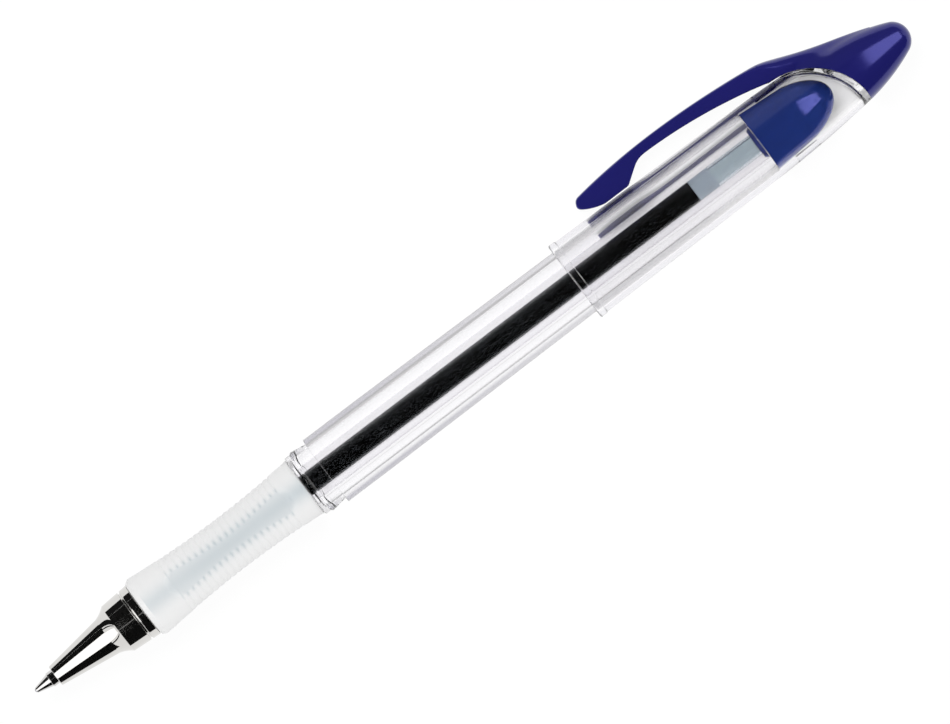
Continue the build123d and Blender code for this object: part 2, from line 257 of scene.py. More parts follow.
# %% Helpers for finishes
def finish(name, **sockets):
    """New material with a Principled shader; socket names are written with _ for spaces."""
    material = bpy.data.materials.new(name)
    material.use_nodes = True
    shader = material.node_tree.nodes["Principled BSDF"]
    for socket, value in sockets.items():
        shader.inputs[socket.replace("_", " ")].default_value = value
    return material, material.node_tree, shader


def pen_coordinates(tree, stretch=(1, 1, 1)):
    """Object coordinates measured from the writing tip, stretched along the frame's axes."""
    coordinates = tree.nodes.new("ShaderNodeTexCoord")
    mapping = tree.nodes.new("ShaderNodeMapping")
    mapping.vector_type = "POINT"
    mapping.inputs["Location"].default_value = tuple(-tip * stretch)
    mapping.inputs["Scale"].default_value = stretch
    tree.links.new(coordinates.outputs["Object"], mapping.inputs["Vector"])
    return mapping.outputs["Vector"]


def noise(tree, scale, stretch=(1, 1, 1), detail=2.0):
    """Soft random pattern from 0 to 1, with scale features to the metre."""
    texture = tree.nodes.new("ShaderNodeTexNoise")
    texture.inputs["Scale"].default_value = scale
    texture.inputs["Detail"].default_value = detail
    tree.links.new(pen_coordinates(tree, stretch), texture.inputs["Vector"])
    return texture.outputs["Fac"]


def spread(tree, pattern, low, high, start=0.3, end=0.7):
    """The pattern's values from start to end, spread from low to high."""
    spreader = tree.nodes.new("ShaderNodeMapRange")
    ends = {"From Min": start, "From Max": end, "To Min": low, "To Max": high}
    for socket, value in ends.items():
        spreader.inputs[socket].default_value = value
    tree.links.new(pattern, spreader.inputs["Value"])
    return spreader.outputs["Result"]


def two_tone(tree, pattern, first, second):
    """Colour from first, written or made by a node, to second as the pattern goes from 0 to 1."""
    mixer = tree.nodes.new("ShaderNodeMix")
    mixer.data_type = "RGBA"
    if isinstance(first, tuple):
        mixer.inputs["A"].default_value = (*first, 1)
    else:
        tree.links.new(first, mixer.inputs["A"])
    mixer.inputs["B"].default_value = (*second, 1)
    tree.links.new(pattern, mixer.inputs["Factor"])
    return mixer.outputs["Result"]


def streaked(tree, pattern, first, second):
    """Two tones that follow the middle values of a noise pattern."""
    return two_tone(tree, spread(tree, pattern, 0, 1), first, second)


def wear(tree, shader, colour, roughness):
    """Lead a colour and a roughness to the shader."""
    tree.links.new(colour, shader.inputs["Base Color"])
    tree.links.new(roughness, shader.inputs["Roughness"])


def mesh_value(tree, name):
    """A value that the mesh carries at each point."""
    attribute = tree.nodes.new("ShaderNodeAttribute")
    attribute.attribute_name = name
    return attribute.outputs["Fac"]


def combined(tree, operation, first, second):
    """Two values in one: first * second, the larger of them, or 1 where first > second."""
    node = tree.nodes.new("ShaderNodeMath")
    node.operation = operation
    for socket, value in zip(node.inputs, (first, second)):
        if isinstance(value, float):
            socket.default_value = value
        else:
            tree.links.new(value, socket)
    return node.outputs["Value"]


def emboss(tree, shader, pattern, depth):
    """Bump of that many millimetres where the pattern goes from 0 to 1."""
    bump = tree.nodes.new("ShaderNodeBump")
    bump.inputs["Distance"].default_value = depth * MM
    tree.links.new(pattern, bump.inputs["Height"])
    tree.links.new(bump.outputs["Normal"], shader.inputs["Normal"])


# %% [markdown]
# ## Plated metal and the writing point
# The nose is brass with a mirror plating. A mirror has hardly any colour of its own: what shows is the
# studio. Fine turning rings run round it, so its noise is stretched thin along the axis. The point is
# bare steel with coarser rings, and the ball is sintered carbide, a darker and duller grey.

# %% Metal finishes
RING_STRETCH = (1, 0.04, 0.04)
SMEAR_SCALE = 300


def turned_metal(name, bright, dull, rough, ring_scale, ring_depth):
    """Metal in two tones, whose turning rings vary the roughness and stand ring_depth millimetres high."""
    material, tree, shader = finish(name, Metallic=1.0)
    rings = noise(tree, ring_scale, stretch=RING_STRETCH)
    tones = streaked(tree, noise(tree, SMEAR_SCALE), bright, dull)
    wear(tree, shader, tones, spread(tree, rings, *rough))
    emboss(tree, shader, rings, ring_depth)
    return material


plated = turned_metal(
    "mirror_plating", bright=(0.70, 0.69, 0.67), dull=(0.66, 0.65, 0.63),
    rough=(0.02, 0.05), ring_scale=9000, ring_depth=0.0001,
)
steel = turned_metal(
    "point_steel", bright=(0.68, 0.67, 0.66), dull=(0.62, 0.61, 0.60),
    rough=(0.05, 0.10), ring_scale=14000, ring_depth=0.0004,
)
carbide = turned_metal(
    "ball_carbide", bright=(0.56, 0.56, 0.58), dull=(0.48, 0.48, 0.50),
    rough=(0.12, 0.22), ring_scale=20000, ring_depth=0.0004,
)
print("metals", plated.name, steel.name, carbide.name)

# %% [markdown]
# ## Clear plastic
# Barrel and cap are moulded in clear styrene with a breath of violet in it, which whitens the plastic
# and shows where the wall is seen edge-on: there the light runs a long way inside it, so Layer Weight
# tints the rim of the outer skin, which the mesh marks. That grey violet rim is partly the real tint and
# mostly painted shade for the dark edges of the clear walls; on the barrel it fades towards the tail.
# Moulded surfaces are never flat like glass, so a broad, weak bump bends what lies behind them a little,
# and handling leaves faint haze.

# %% Clear finishes
RIM_START = 0.43
RIM_FULL = 0.56
CLEAR_IOR = 1.53
CLEAR_FLOW_SCALE = 120
CLEAR_FLOW_STRETCH = (0.3, 1, 1)
HAZE_SCALE = 900
WAVE_SCALE = 160
WAVE_STRETCH = (0.4, 1, 1)
WAVE_DEPTH = 0.004
BARREL_PALE = (0.985, 0.980, 0.995)
BARREL_DEEP = (0.975, 0.968, 0.990)
# Painted shade of the rims seen edge-on, partly the real tint of the long way through the wall.
BARREL_RIM_PAINTED_SHADE = (0.36, 0.35, 0.42)
CAP_PALE = (0.999, 0.997, 1.000)
CAP_DEEP = (0.993, 0.990, 0.998)
CAP_RIM_PAINTED_SHADE = (0.68, 0.67, 0.72)
CLEAR_HAZE = 0.02


def clear_plastic(name, pale, deep, rim):
    """Clear plastic in two pale tones, going over to the rim's painted shade where its outside is seen
    edge-on.
    """
    material, tree, shader = finish(name, Transmission_Weight=1.0, IOR=CLEAR_IOR)
    flow = streaked(tree, noise(tree, CLEAR_FLOW_SCALE, stretch=CLEAR_FLOW_STRETCH), pale, deep)
    facing = tree.nodes.new("ShaderNodeLayerWeight").outputs["Facing"]
    edge_on = spread(tree, facing, 0, 1, start=RIM_START, end=RIM_FULL)
    on_painted_rim = combined(tree, "MULTIPLY", edge_on, mesh_value(tree, "outside"))
    haze = spread(tree, noise(tree, HAZE_SCALE), 0.0, CLEAR_HAZE)
    wear(tree, shader, two_tone(tree, on_painted_rim, flow, rim), haze)
    emboss(tree, shader, noise(tree, WAVE_SCALE, stretch=WAVE_STRETCH, detail=0), WAVE_DEPTH)
    return material


clear_barrel = clear_plastic("clear_barrel_styrene", BARREL_PALE, BARREL_DEEP, BARREL_RIM_PAINTED_SHADE)
clear_cap = clear_plastic("clear_cap_styrene", CAP_PALE, CAP_DEEP, CAP_RIM_PAINTED_SHADE)
print("clear plastics", clear_barrel.name, clear_cap.name)

# %% [markdown]
# ## Blue plastic
# Clip and plug are tinted through with a deep violet blue. Light that goes in and comes back is blue as
# well, so their gloss gets a blue tint. A faint flow pattern from the mould varies the colour, and the
# skin has the weak orange peel of a polished mould.

# %% Blue finishes
GLOSS_TINT = {"Specular_IOR_Level": 0.9, "Specular_Tint": (0.32, 0.32, 1.0, 1.0)}
BLUE_FLOW_SCALE = 90
BLUE_FLOW_STRETCH = (0.35, 1, 1)
BLUE_GRAIN_SCALE = 2600
PEEL_SCALE = 250
PEEL_DEPTH = 0.0015


def blue_plastic(name, deep, bright, rough, ior):
    """Blue plastic in two tones with a blue gloss and a weak orange peel."""
    material, tree, shader = finish(name, IOR=ior, **GLOSS_TINT)
    flow = streaked(tree, noise(tree, BLUE_FLOW_SCALE, stretch=BLUE_FLOW_STRETCH), deep, bright)
    wear(tree, shader, flow, spread(tree, noise(tree, BLUE_GRAIN_SCALE), *rough))
    emboss(tree, shader, noise(tree, PEEL_SCALE), PEEL_DEPTH)
    return material


blue_clip = blue_plastic(
    "blue_clip_plastic", deep=(0.0105, 0.0105, 0.120), bright=(0.0150, 0.0145, 0.150),
    rough=(0.13, 0.18), ior=1.5,
)
blue_plug = blue_plastic(
    "blue_plug_plastic", deep=(0.024, 0.058, 0.320), bright=(0.031, 0.074, 0.390),
    rough=(0.10, 0.16), ior=1.65,
)
print("blue plastics", blue_clip.name, blue_plug.name)

# %% [markdown]
# ## Rubber, ink and refill
# The grip is a frosted white rubber that lets some light through: over the refill, and where the finger
# flats make its wall thin, a grey shade shows. That shade is painted into the colour: the grip's mesh carries
# it at each point, with painted dark ticks in the rib valleys beside the flats, and the colour follows it.
# The refill's pipe is milky, its ink is black and wets the wall, and a drop of pale grease follows the ink
# down.

# %% Soft and wet finishes
RUBBER_SOCKETS = {
    "IOR": 1.45,
    "Subsurface_Weight": 0.25,
    "Subsurface_Radius": (0.001, 0.001, 0.001),
    "Subsurface_Scale": 1.0,
}
RUBBER_WHITE = (0.885, 0.885, 0.885)
# Colour of the painted shade of the refill, seen through the rubber.
RUBBER_PAINTED_SHADE = (0.61, 0.66, 0.685)
RUBBER_ROUGH = (0.42, 0.58)
RUBBER_SMEAR_SCALE = 2500
RUBBER_GRAIN_SCALE = 5000
RUBBER_GRAIN_DEPTH = 0.006
MILKY_IOR = 1.49
MILKY_SMOOTHEST = 0.7
MILKY_SMEAR_SCALE = 1500
STREAK_SCALE = 400
STREAK_STRETCH = (0.1, 1, 1)
INK_IOR = 1.4
INK_BLACK = (0.030, 0.030, 0.031)
INK_GREY = (0.036, 0.036, 0.037)
INK_ROUGH = (0.20, 0.25)
SETTLING_SCALE = 700
SETTLING_STRETCH = (0.2, 1, 1)


def grip_rubber():
    """Frosted rubber, white where its mesh carries no painted shade of the refill."""
    material, tree, shader = finish("frosted_grip_rubber", **RUBBER_SOCKETS)
    shaded = two_tone(tree, mesh_value(tree, "refill_shade"), RUBBER_WHITE, RUBBER_PAINTED_SHADE)
    wear(tree, shader, shaded, spread(tree, noise(tree, RUBBER_SMEAR_SCALE), *RUBBER_ROUGH))
    emboss(tree, shader, noise(tree, RUBBER_GRAIN_SCALE), RUBBER_GRAIN_DEPTH)
    return material


def milky_plastic(name, pale, deep, rough, transmission):
    """Milky plastic or grease in two tones, streaked along the pen."""
    material, tree, shader = finish(name, IOR=MILKY_IOR, Transmission_Weight=transmission)
    streaks = streaked(tree, noise(tree, STREAK_SCALE, stretch=STREAK_STRETCH), pale, deep)
    wear(tree, shader, streaks, spread(tree, noise(tree, MILKY_SMEAR_SCALE), rough * MILKY_SMOOTHEST, rough))
    return material


def wet_ink():
    """Black ink that settled in faint streaks."""
    material, tree, shader = finish("black_ink", IOR=INK_IOR)
    settling = noise(tree, SETTLING_SCALE, stretch=SETTLING_STRETCH)
    wear(tree, shader, streaked(tree, settling, INK_BLACK, INK_GREY), spread(tree, settling, *INK_ROUGH))
    return material


rubber = grip_rubber()
refill_plastic = milky_plastic(
    "refill_pipe_plastic", pale=(0.78, 0.84, 0.86), deep=(0.70, 0.78, 0.81), rough=0.1, transmission=1.0,
)
holder_plastic = milky_plastic(
    "refill_adapter_plastic", pale=(0.85, 0.85, 0.83), deep=(0.78, 0.78, 0.76), rough=0.4, transmission=0.2,
)
grease = milky_plastic(
    "follower_grease", pale=(0.97, 0.95, 0.99), deep=(0.93, 0.91, 0.96), rough=0.08, transmission=1.0,
)
ink = wet_ink()
print("soft and wet", rubber.name, refill_plastic.name, holder_plastic.name, grease.name, ink.name)

# %% [markdown]
# ## Ball and point
# The ball is a sphere of 0.7 mm. Its socket is turned from one rod: a cone whose lip is crimped over the
# ball, a step, and a shank with the ink channel through it. Only the ball's front third stands out.

# %% Make the ball and its socket
ball_front, ball_rear = span("writing_ball")
ball_radius = (ball_rear - ball_front) / 2
SEAT_PLAY = 0.01
LIP_FRONT = 0.25
LIP_WALL = 0.06
FEED_RADIUS = 0.3
CONE_END = 2.6
CONE_RADIUS = 0.99
CONE_ROUND = 0.03
BALL_ROWS = 48
SEAT_ROWS = 16
SHANK_RADIUS = girth("point_socket")
shank_rear = span("point_socket")[1]

half_turn = np.linspace(0, np.pi, BALL_ROWS)
ball_outline = ball_radius * np.stack([1 - np.cos(half_turn), np.sin(half_turn)], -1)
dress(turned("rolling_ball", ball_outline), "writing_ball", "ball", carbide)

seat_radius = ball_radius + SEAT_PLAY
at_feed, at_lip = np.arcsin(FEED_RADIUS / seat_radius), np.arccos((LIP_FRONT - ball_radius) / seat_radius)
seat_turn = np.linspace(at_feed, at_lip, SEAT_ROWS)
seat = np.stack([ball_radius + seat_radius * np.cos(seat_turn), seat_radius * np.sin(seat_turn)], -1)
lip_radius = seat[-1, 1] + LIP_WALL
point_outline = np.concatenate([seat, rounded_path(
    (LIP_FRONT, seat[-1, 1], 0),
    (LIP_FRONT, lip_radius, CRISP_EDGE),
    (CONE_END, CONE_RADIUS, CONE_ROUND),
    (CONE_END, SHANK_RADIUS, CONE_ROUND),
    (shank_rear, SHANK_RADIUS, FINE_EDGE),
    (shank_rear, FEED_RADIUS, CRISP_EDGE),
    (seat[0, 0], FEED_RADIUS, 0),
)])
dress(turned("turned_point", point_outline), "point_socket", "pen", steel)

# %% [markdown]
# ## Nose cone
# A turned and plated cone screws onto the barrel's spigot and clamps the refill. Its straight cone
# flares into a short base ring that still widens a little; a thin groove parts that from the flange
# against the grip. The flare is an arc that leaves the cone at a slight kink, as a form tool would cut it.

# %% Make the nose cone
nose_front, nose_rear = span("nose_cone")
nose_rear_radius = girth("nose_cone")
NOSE_HOLE_RADIUS = 1.17
NOSE_LIP = 0.43
NOSE_CONE_END = 12.65
NOSE_CONE_RADIUS = 2.86
NOSE_BASE_START = 14.5
NOSE_BASE_RADIUS = 3.87
NOSE_FLARE_SLOPE = np.radians(16)
GROOVE_START = 17.4
GROOVE_END = 17.65
GROOVE_DEPTH = 0.25
NOSE_BORE_FRONT = 7.5
NOSE_BORE_RADIUS = 1.65
NOSE_SOCKET_RADIUS = 2.65
NOSE_EDGE = 0.05
NOSE_MOUTH_ROUND = 0.12

nose_mouth_radius = NOSE_HOLE_RADIUS + NOSE_LIP
cone_run = (NOSE_CONE_END - nose_front, NOSE_CONE_RADIUS - nose_mouth_radius)
kink = (NOSE_CONE_END, NOSE_CONE_RADIUS)
flare_way = (np.cos(NOSE_FLARE_SLOPE), np.sin(NOSE_FLARE_SLOPE))
flare = tangent_arc(kink, flare_way, (NOSE_BASE_START, NOSE_BASE_RADIUS))[0]
base_rise = (nose_rear_radius - NOSE_BASE_RADIUS) / (nose_rear - NOSE_BASE_START)
groove_edge = NOSE_BASE_RADIUS + base_rise * (GROOVE_START - NOSE_BASE_START)
flange_edge = NOSE_BASE_RADIUS + base_rise * (GROOVE_END - NOSE_BASE_START)
nose_outline = np.concatenate([
    rounded_path(
        (NOSE_BORE_FRONT - LOOP_START, NOSE_HOLE_RADIUS, 0),
        (nose_front, NOSE_HOLE_RADIUS, NOSE_EDGE),
        (nose_front, nose_mouth_radius, NOSE_MOUTH_ROUND),
        (NOSE_CONE_END - HOLD, NOSE_CONE_RADIUS - HOLD * cone_run[1] / cone_run[0], 0),
    ),
    flare,
    rounded_path(
        (NOSE_BASE_START + HOLD, NOSE_BASE_RADIUS + base_rise * HOLD, 0),
        (GROOVE_START, groove_edge, NOSE_EDGE),
        (GROOVE_START, groove_edge - GROOVE_DEPTH, NOSE_EDGE),
        (GROOVE_END, groove_edge - GROOVE_DEPTH, NOSE_EDGE),
        (GROOVE_END, flange_edge, 3 * NOSE_EDGE),
        (nose_rear, nose_rear_radius, 2 * NOSE_EDGE),
        (nose_rear, NOSE_SOCKET_RADIUS, NOSE_EDGE),
        (NOSE_BASE_START, NOSE_SOCKET_RADIUS, NOSE_EDGE),
        (NOSE_BASE_START, NOSE_BORE_RADIUS, NOSE_EDGE),
        (NOSE_BORE_FRONT, NOSE_BORE_RADIUS, NOSE_EDGE),
        (NOSE_BORE_FRONT, NOSE_HOLE_RADIUS, NOSE_EDGE),
        (NOSE_BORE_FRONT - LOOP_START + HOLD, NOSE_HOLE_RADIUS, 0),
    ),
])
dress(turned("plated_nose", nose_outline), "nose_cone", "pen", plated)

# %% [markdown]
# ## Refill
# Inside the nose an adapter holds the point and plugs the refill's pipe. The pipe runs to the end plug,
# filled with ink for most of its length. Ink wets the pipe's wall, with no air between them, so its skin
# lies a hair inside the wall: that is why the black seems to fill the pipe's whole width.

# %% Make the adapter, the pipe, the ink and the grease
pipe_front, pipe_rear = span("refill_tube")
pipe_radius = girth("refill_tube")
holder_front, holder_rear = span("tip_holder")
PIPE_WALL = 0.4
WETTING = 0.02
HOLDER_RADIUS = 1.6
HOLDER_FLANGE_RADIUS = girth("tip_holder")
HOLDER_SOCKET_RADIUS = 1.13
SMALL_EDGE = 0.06

pipe_bore = pipe_radius - PIPE_WALL
adapter_outline = evenly_rounded(
    SMALL_EDGE,
    (shank_rear + LOOP_START, FEED_RADIUS),
    (shank_rear, FEED_RADIUS),
    (shank_rear, HOLDER_SOCKET_RADIUS),
    (holder_front, HOLDER_SOCKET_RADIUS),
    (holder_front, HOLDER_RADIUS),
    (NOSE_BASE_START, HOLDER_RADIUS),
    (NOSE_BASE_START, HOLDER_FLANGE_RADIUS),
    (pipe_front, HOLDER_FLANGE_RADIUS),
    (pipe_front, pipe_bore - SEAT_PLAY),
    (holder_rear, pipe_bore - SEAT_PLAY),
    (holder_rear, FEED_RADIUS),
    (shank_rear + LOOP_START + HOLD, FEED_RADIUS),
)
dress(turned("refill_adapter", adapter_outline), "tip_holder", "pen", holder_plastic)

pipe_middle = (pipe_front + pipe_rear) / 2
pipe_outline = evenly_rounded(
    SMALL_EDGE,
    (pipe_middle, pipe_bore),
    (pipe_front, pipe_bore),
    (pipe_front, pipe_radius),
    (pipe_rear, pipe_radius),
    (pipe_rear, pipe_bore),
    (pipe_middle + HOLD, pipe_bore),
)
dress(turned("refill_pipe", pipe_outline), "refill_tube", "pen", refill_plastic)

ink_front, ink_rear = span("ink_column")
thread_radius = FEED_RADIUS - SEAT_PLAY
ink_outline = evenly_rounded(
    SMALL_EDGE,
    (ink_front, 0),
    (ink_front, thread_radius),
    (holder_rear + SEAT_PLAY, thread_radius),
    (holder_rear + SEAT_PLAY, pipe_bore + WETTING),
    (ink_rear, pipe_bore + WETTING),
    (ink_rear, 0),
)
dress(turned("ink_thread", ink_outline), "ink_column", "pen", ink)

grease_front, grease_rear = span("ink_follower")
grease_outline = evenly_rounded(
    SMALL_EDGE,
    (grease_front + SEAT_PLAY, 0),
    (grease_front + SEAT_PLAY, pipe_bore + WETTING),
    (grease_rear, pipe_bore + WETTING),
    (grease_rear, 0),
)
dress(turned("grease_plug", grease_outline), "ink_follower", "pen", grease)

# %% [markdown]
# ## Barrel
# One clear moulding: a thin spigot for the nose, a neck under the grip, a flange, the seat on which the
# cap snaps when the pen is closed, a step up to full width, and a long tube that narrows to the tail.
# The snap bead rises steeply behind the flange and falls off slowly to the step. The bore is straight and
# narrow, as wide as the plug's boss, so the wall is thick. It works as a lens: seen from the photo's side it
# shows the clip once more, as a dark stripe beside the refill.

# %% Make the barrel
barrel_front, barrel_rear = span("barrel")
barrel_radius = girth("barrel")
SPIGOT_RADIUS = 2.6
NECK_RADIUS = 3.0
NECK_BORE = 2.05
FLANGE_FRONT = 47.3
CAVITY_FRONT = 48.2
BORE_FRONT = 47.8
BARREL_STEP = 50.9
LAND_END = 59.4
FLANGE_RADIUS = 4.83
SNAP_PEAK = (48.45, 5.05)
SNAP_ROUND = 0.14
SEAT_RADIUS = 4.71
TAIL_RADIUS = 4.91
BORE_RADIUS = 2.70
BARREL_EDGE = 0.12
FLANGE_ROUND = 0.2
TAIL_PAINTED_RIM = 0.15

barrel_outline = rounded_path(
    (barrel_front + LOOP_START, NECK_BORE, 0),
    (barrel_front, NECK_BORE, FINE_EDGE),
    (barrel_front, SPIGOT_RADIUS, SOFT_EDGE),
    (nose_rear, SPIGOT_RADIUS, CRISP_EDGE),
    (nose_rear, NECK_RADIUS, FINE_EDGE),
    (FLANGE_FRONT, NECK_RADIUS, FINE_EDGE),
    (FLANGE_FRONT, FLANGE_RADIUS, FLANGE_ROUND),
    (CAVITY_FRONT, FLANGE_RADIUS, FINE_EDGE),
    (*SNAP_PEAK, SNAP_ROUND),
    (BARREL_STEP, SEAT_RADIUS, FINE_EDGE),
    (BARREL_STEP, barrel_radius, BARREL_EDGE),
    (LAND_END, barrel_radius, BARREL_EDGE),
    (barrel_rear, TAIL_RADIUS, BARREL_EDGE),
    (barrel_rear, BORE_RADIUS, FINE_EDGE),
    (BORE_FRONT, BORE_RADIUS, FLANGE_ROUND),
    (BORE_FRONT, NECK_BORE, SOFT_EDGE),
    (barrel_front + LOOP_START + HOLD, NECK_BORE, 0),
)
# Painted rim shade on the barrel's outer skin, full at the front and weaker towards the tail.
barrel_painted_rim = np.interp(barrel_outline[:, 0], (LAND_END, barrel_rear), (1, TAIL_PAINTED_RIM))
barrel_painted_rim *= barrel_outline[:, 1] > FLANGE_RADIUS
stem = turned("clear_stem", barrel_outline, outside=barrel_painted_rim)
dress(stem, "barrel", "pen", clear_barrel)

# %% [markdown]
# ## Grip
# The rubber sleeve has a waist for the fingers, nineteen ring ribs and three long finger flats. All of
# that is one radius that depends on x and on the angle: two parabolas that meet at the waist, less the
# ribs' valleys, cut down to a flat plane inside each slot-shaped finger flat.

# %% Make the grip
grip_front, grip_rear = span("grip_sleeve")
GRIP_BORE = 3.03
WAIST_RADIUS = 3.95
WAIST_AT = 15.7
FRONT_SWELL = 0.83
REAR_SWELL = 0.58
RIB_COUNT = 19
RIB_PITCH = 1.02
RIB_HEIGHT = 0.13
RIB_START = 5.4
FLAT_COUNT = 3
FLAT_INSET = 0.2
FLAT_LENGTH = 20.8
FLAT_WIDTH = 4.4
FLAT_START = 5.0
FLAT_EDGE = 0.14
FLAT_END_EDGE = 1.2
# How the painted shade of the refill spreads: a band over the refill, weaker near the grip's front, a share
# on the flats and dark ticks in the rib valleys beside them.
BAND_REACH = 1.5
BAND_FRONT = 0.72
BAND_FULL = 32.0
FLAT_PAINTED_SHADE = 0.55
TICK_REACH = 0.30
TICK_PAINTED_SHADE = 0.70
GRIP_TAIL_EDGE = 0.04
GRIP_NOSE_LENGTH = 0.8
GRIP_NOSE_DROP = 0.4
GRIP_NOSE_ROUND = 0.15
FRONT_ROWS = 24
REAR_ROWS = 16
RIB_ROWS = 8
GRIP_COLUMNS = 216


def ease(share):
    """Smooth step: 0 below 0, 1 above 1, and 3 s^2 - 2 s^3 between."""
    share = np.clip(share, 0, 1)
    return share * share * (3 - 2 * share)


def grip_shape(x, angle):
    """Radius of the grip, and how much painted shade of the refill its colour carries there.

    Waist + swell * (distance from the waist)^2 - rib valleys, held below each flat's plane h / cos f.
    The painted shade is a bell exp(-(y / reach)^2) over the refill. It is also painted on the flats, where
    the wall is thin, and as dark ticks in the rib valleys just beside them, where shade falls.
    """
    waist = grip_front + WAIST_AT
    front_share = np.clip((waist - x) / WAIST_AT, 0, 1)
    rear_share = np.clip((x - waist) / (grip_rear - waist), 0, 1)
    radius = WAIST_RADIUS + FRONT_SWELL * front_share**2 + REAR_SWELL * rear_share**2
    rib_phase = (x - grip_front - RIB_START) / RIB_PITCH
    ribbed = (rib_phase > 0) & (rib_phase < RIB_COUNT)
    valley = np.where(ribbed, 1 - np.abs(np.sin(np.pi * rib_phase)), 0)
    crest = radius
    radius = crest - RIB_HEIGHT * valley
    flat_middle = grip_front + FLAT_START + FLAT_LENGTH / 2
    past_ends = np.maximum(np.abs(x - flat_middle) - (FLAT_LENGTH - FLAT_WIDTH) / 2, 0)
    sector = 2 * np.pi / FLAT_COUNT
    from_flat = (angle + np.pi / 2 + sector / 2) % sector - sector / 2
    plane = (WAIST_RADIUS - FLAT_INSET) / np.cos(from_flat)
    off_middle = np.hypot(past_ends, radius * np.sin(from_flat))
    edge = FLAT_EDGE + (FLAT_END_EDGE - FLAT_EDGE) * past_ends / (FLAT_WIDTH / 2)
    inside = ease((FLAT_WIDTH / 2 - off_middle) / edge + 0.5)
    across = radius * np.sin(from_flat)
    on_flat = inside * ease((crest - plane) / RIB_HEIGHT)
    strength = BAND_FRONT + (1 - BAND_FRONT) * ease((x - grip_front) / (BAND_FULL - grip_front))
    thin = FLAT_PAINTED_SHADE * on_flat
    band = thin + (strength - thin) * np.exp(-((across / BAND_REACH) ** 2))
    beside = np.exp(-((np.minimum(crest - plane, 0) / TICK_REACH) ** 2)) * (1 - on_flat)
    shade = band + TICK_PAINTED_SHADE * valley * beside * (past_ends < FLAT_WIDTH / 2)
    return radius - inside * np.maximum(radius - plane, 0), shade


rib_first = grip_front + RIB_START
rib_last = rib_first + RIB_COUNT * RIB_PITCH
grip_x = np.concatenate([
    np.linspace(grip_front + GRIP_NOSE_LENGTH, rib_first, FRONT_ROWS, endpoint=False),
    np.linspace(rib_first, rib_last, RIB_COUNT * RIB_ROWS + 1),
    np.linspace(rib_last, grip_rear - GRIP_TAIL_EDGE, REAR_ROWS)[1:],
])[:, None]
grip_turn = np.arange(GRIP_COLUMNS) * 2 * np.pi / GRIP_COLUMNS
grip_r, grip_painted_shade = grip_shape(grip_x, grip_turn)
front_radius, rear_radius = grip_r[[0, -1]].max(axis=1)
grip_loop = grip_front + 2 * LOOP_START
grip_nose = rounded_path(
    (grip_loop, GRIP_BORE, 0),
    (grip_front, GRIP_BORE, SOFT_EDGE),
    (grip_front, front_radius - GRIP_NOSE_DROP, GRIP_NOSE_ROUND),
    (grip_front + GRIP_NOSE_LENGTH - HOLD, front_radius, 0),
)
grip_tail = rounded_path(
    (grip_rear - GRIP_TAIL_EDGE + HOLD, rear_radius, 0),
    (grip_rear, rear_radius - GRIP_TAIL_EDGE, FINE_EDGE),
    (grip_rear, GRIP_BORE, SOFT_EDGE),
    (grip_loop + HOLD, GRIP_BORE, 0),
)
grip_grid = np.concatenate([
    spin(grip_nose[:, :1], grip_nose[:, 1:], grip_turn),
    spin(grip_x, grip_r, grip_turn),
    spin(grip_tail[:, :1], grip_tail[:, 1:], grip_turn),
])
# Painted shade of the refill, carried by the mesh for the grip's colour.
shades = np.zeros(grip_grid.shape[:2])
shades[len(grip_nose):len(grip_nose) + len(grip_x)] = grip_painted_shade
grip = skin("rubber_grip", grip_grid, closed=True, refill_shade=shades)
dress(grip, "grip_sleeve", "pen", rubber)

# %% [markdown]
# ## End plug
# A blue thimble closes the barrel's tail. Its side tapers so that it comes out of the mould, its end is
# the blunt part of an ellipse, and a small boss with a socket keeps the refill on the axis.

# %% Make the end plug
plug_front, plug_rear = span("end_plug")
PLUG_RADIUS = girth("end_plug")
PLUG_DOME_START = 133.65
PLUG_DOME_REACH = 8.4
PLUG_DOME_RADIUS = 4.25
PLUG_SOCKET_RADIUS = 1.7
PLUG_SOCKET_END = 129.2
PLUG_BOSS_RADIUS = 2.65
PLUG_BOSS_TAPER = 0.4
PLUG_ROUND = 0.15

plug_outline = np.concatenate([
    rounded_path(
        (PLUG_SOCKET_END, 0, 0),
        (PLUG_SOCKET_END, PLUG_SOCKET_RADIUS, SOFT_EDGE),
        (plug_front, PLUG_SOCKET_RADIUS, FINE_EDGE),
        (plug_front, PLUG_BOSS_RADIUS - PLUG_BOSS_TAPER, SOFT_EDGE),
        (barrel_rear, PLUG_BOSS_RADIUS, SOFT_EDGE),
        (barrel_rear, PLUG_RADIUS, PLUG_ROUND),
        (PLUG_DOME_START - HOLD, PLUG_DOME_RADIUS, 0),
    ),
    elliptic_end(PLUG_DOME_START, plug_rear, PLUG_DOME_RADIUS, PLUG_DOME_REACH),
])
dress(turned("tail_plug", plug_outline), "end_plug", "pen", blue_plug)

# %% [markdown]
# ## Outside of cap and head
# Clear cap and blue head share one outside: the tapered wall, a shoulder that bends in, a cone that bends
# back, and a small round end. Three tangent arcs make it, and the radius is read off them for any x.
# The two mouldings meet on a curved parting surface, a cylinder laid across the pen.

# %% Outside radius and parting surface
cap_mouth, cap_clear_end = span("cap_body")
clip_front, head_rear = span("cap_clip")
CAP_MOUTH_BORE = 5.311
CAP_TAIL_BORE = 4.96
CAP_WALL = 0.8
HEAD_NECK = (142.8, 4.76)
HEAD_END_RADIUS = 2.7
HEAD_END_SLOPE = np.radians(21)
PARTING_RADIUS = 10.2
PARTING_CENTRE = (132.81, -4.53)
END_ROWS = 40
EDGE_PASSES = 60

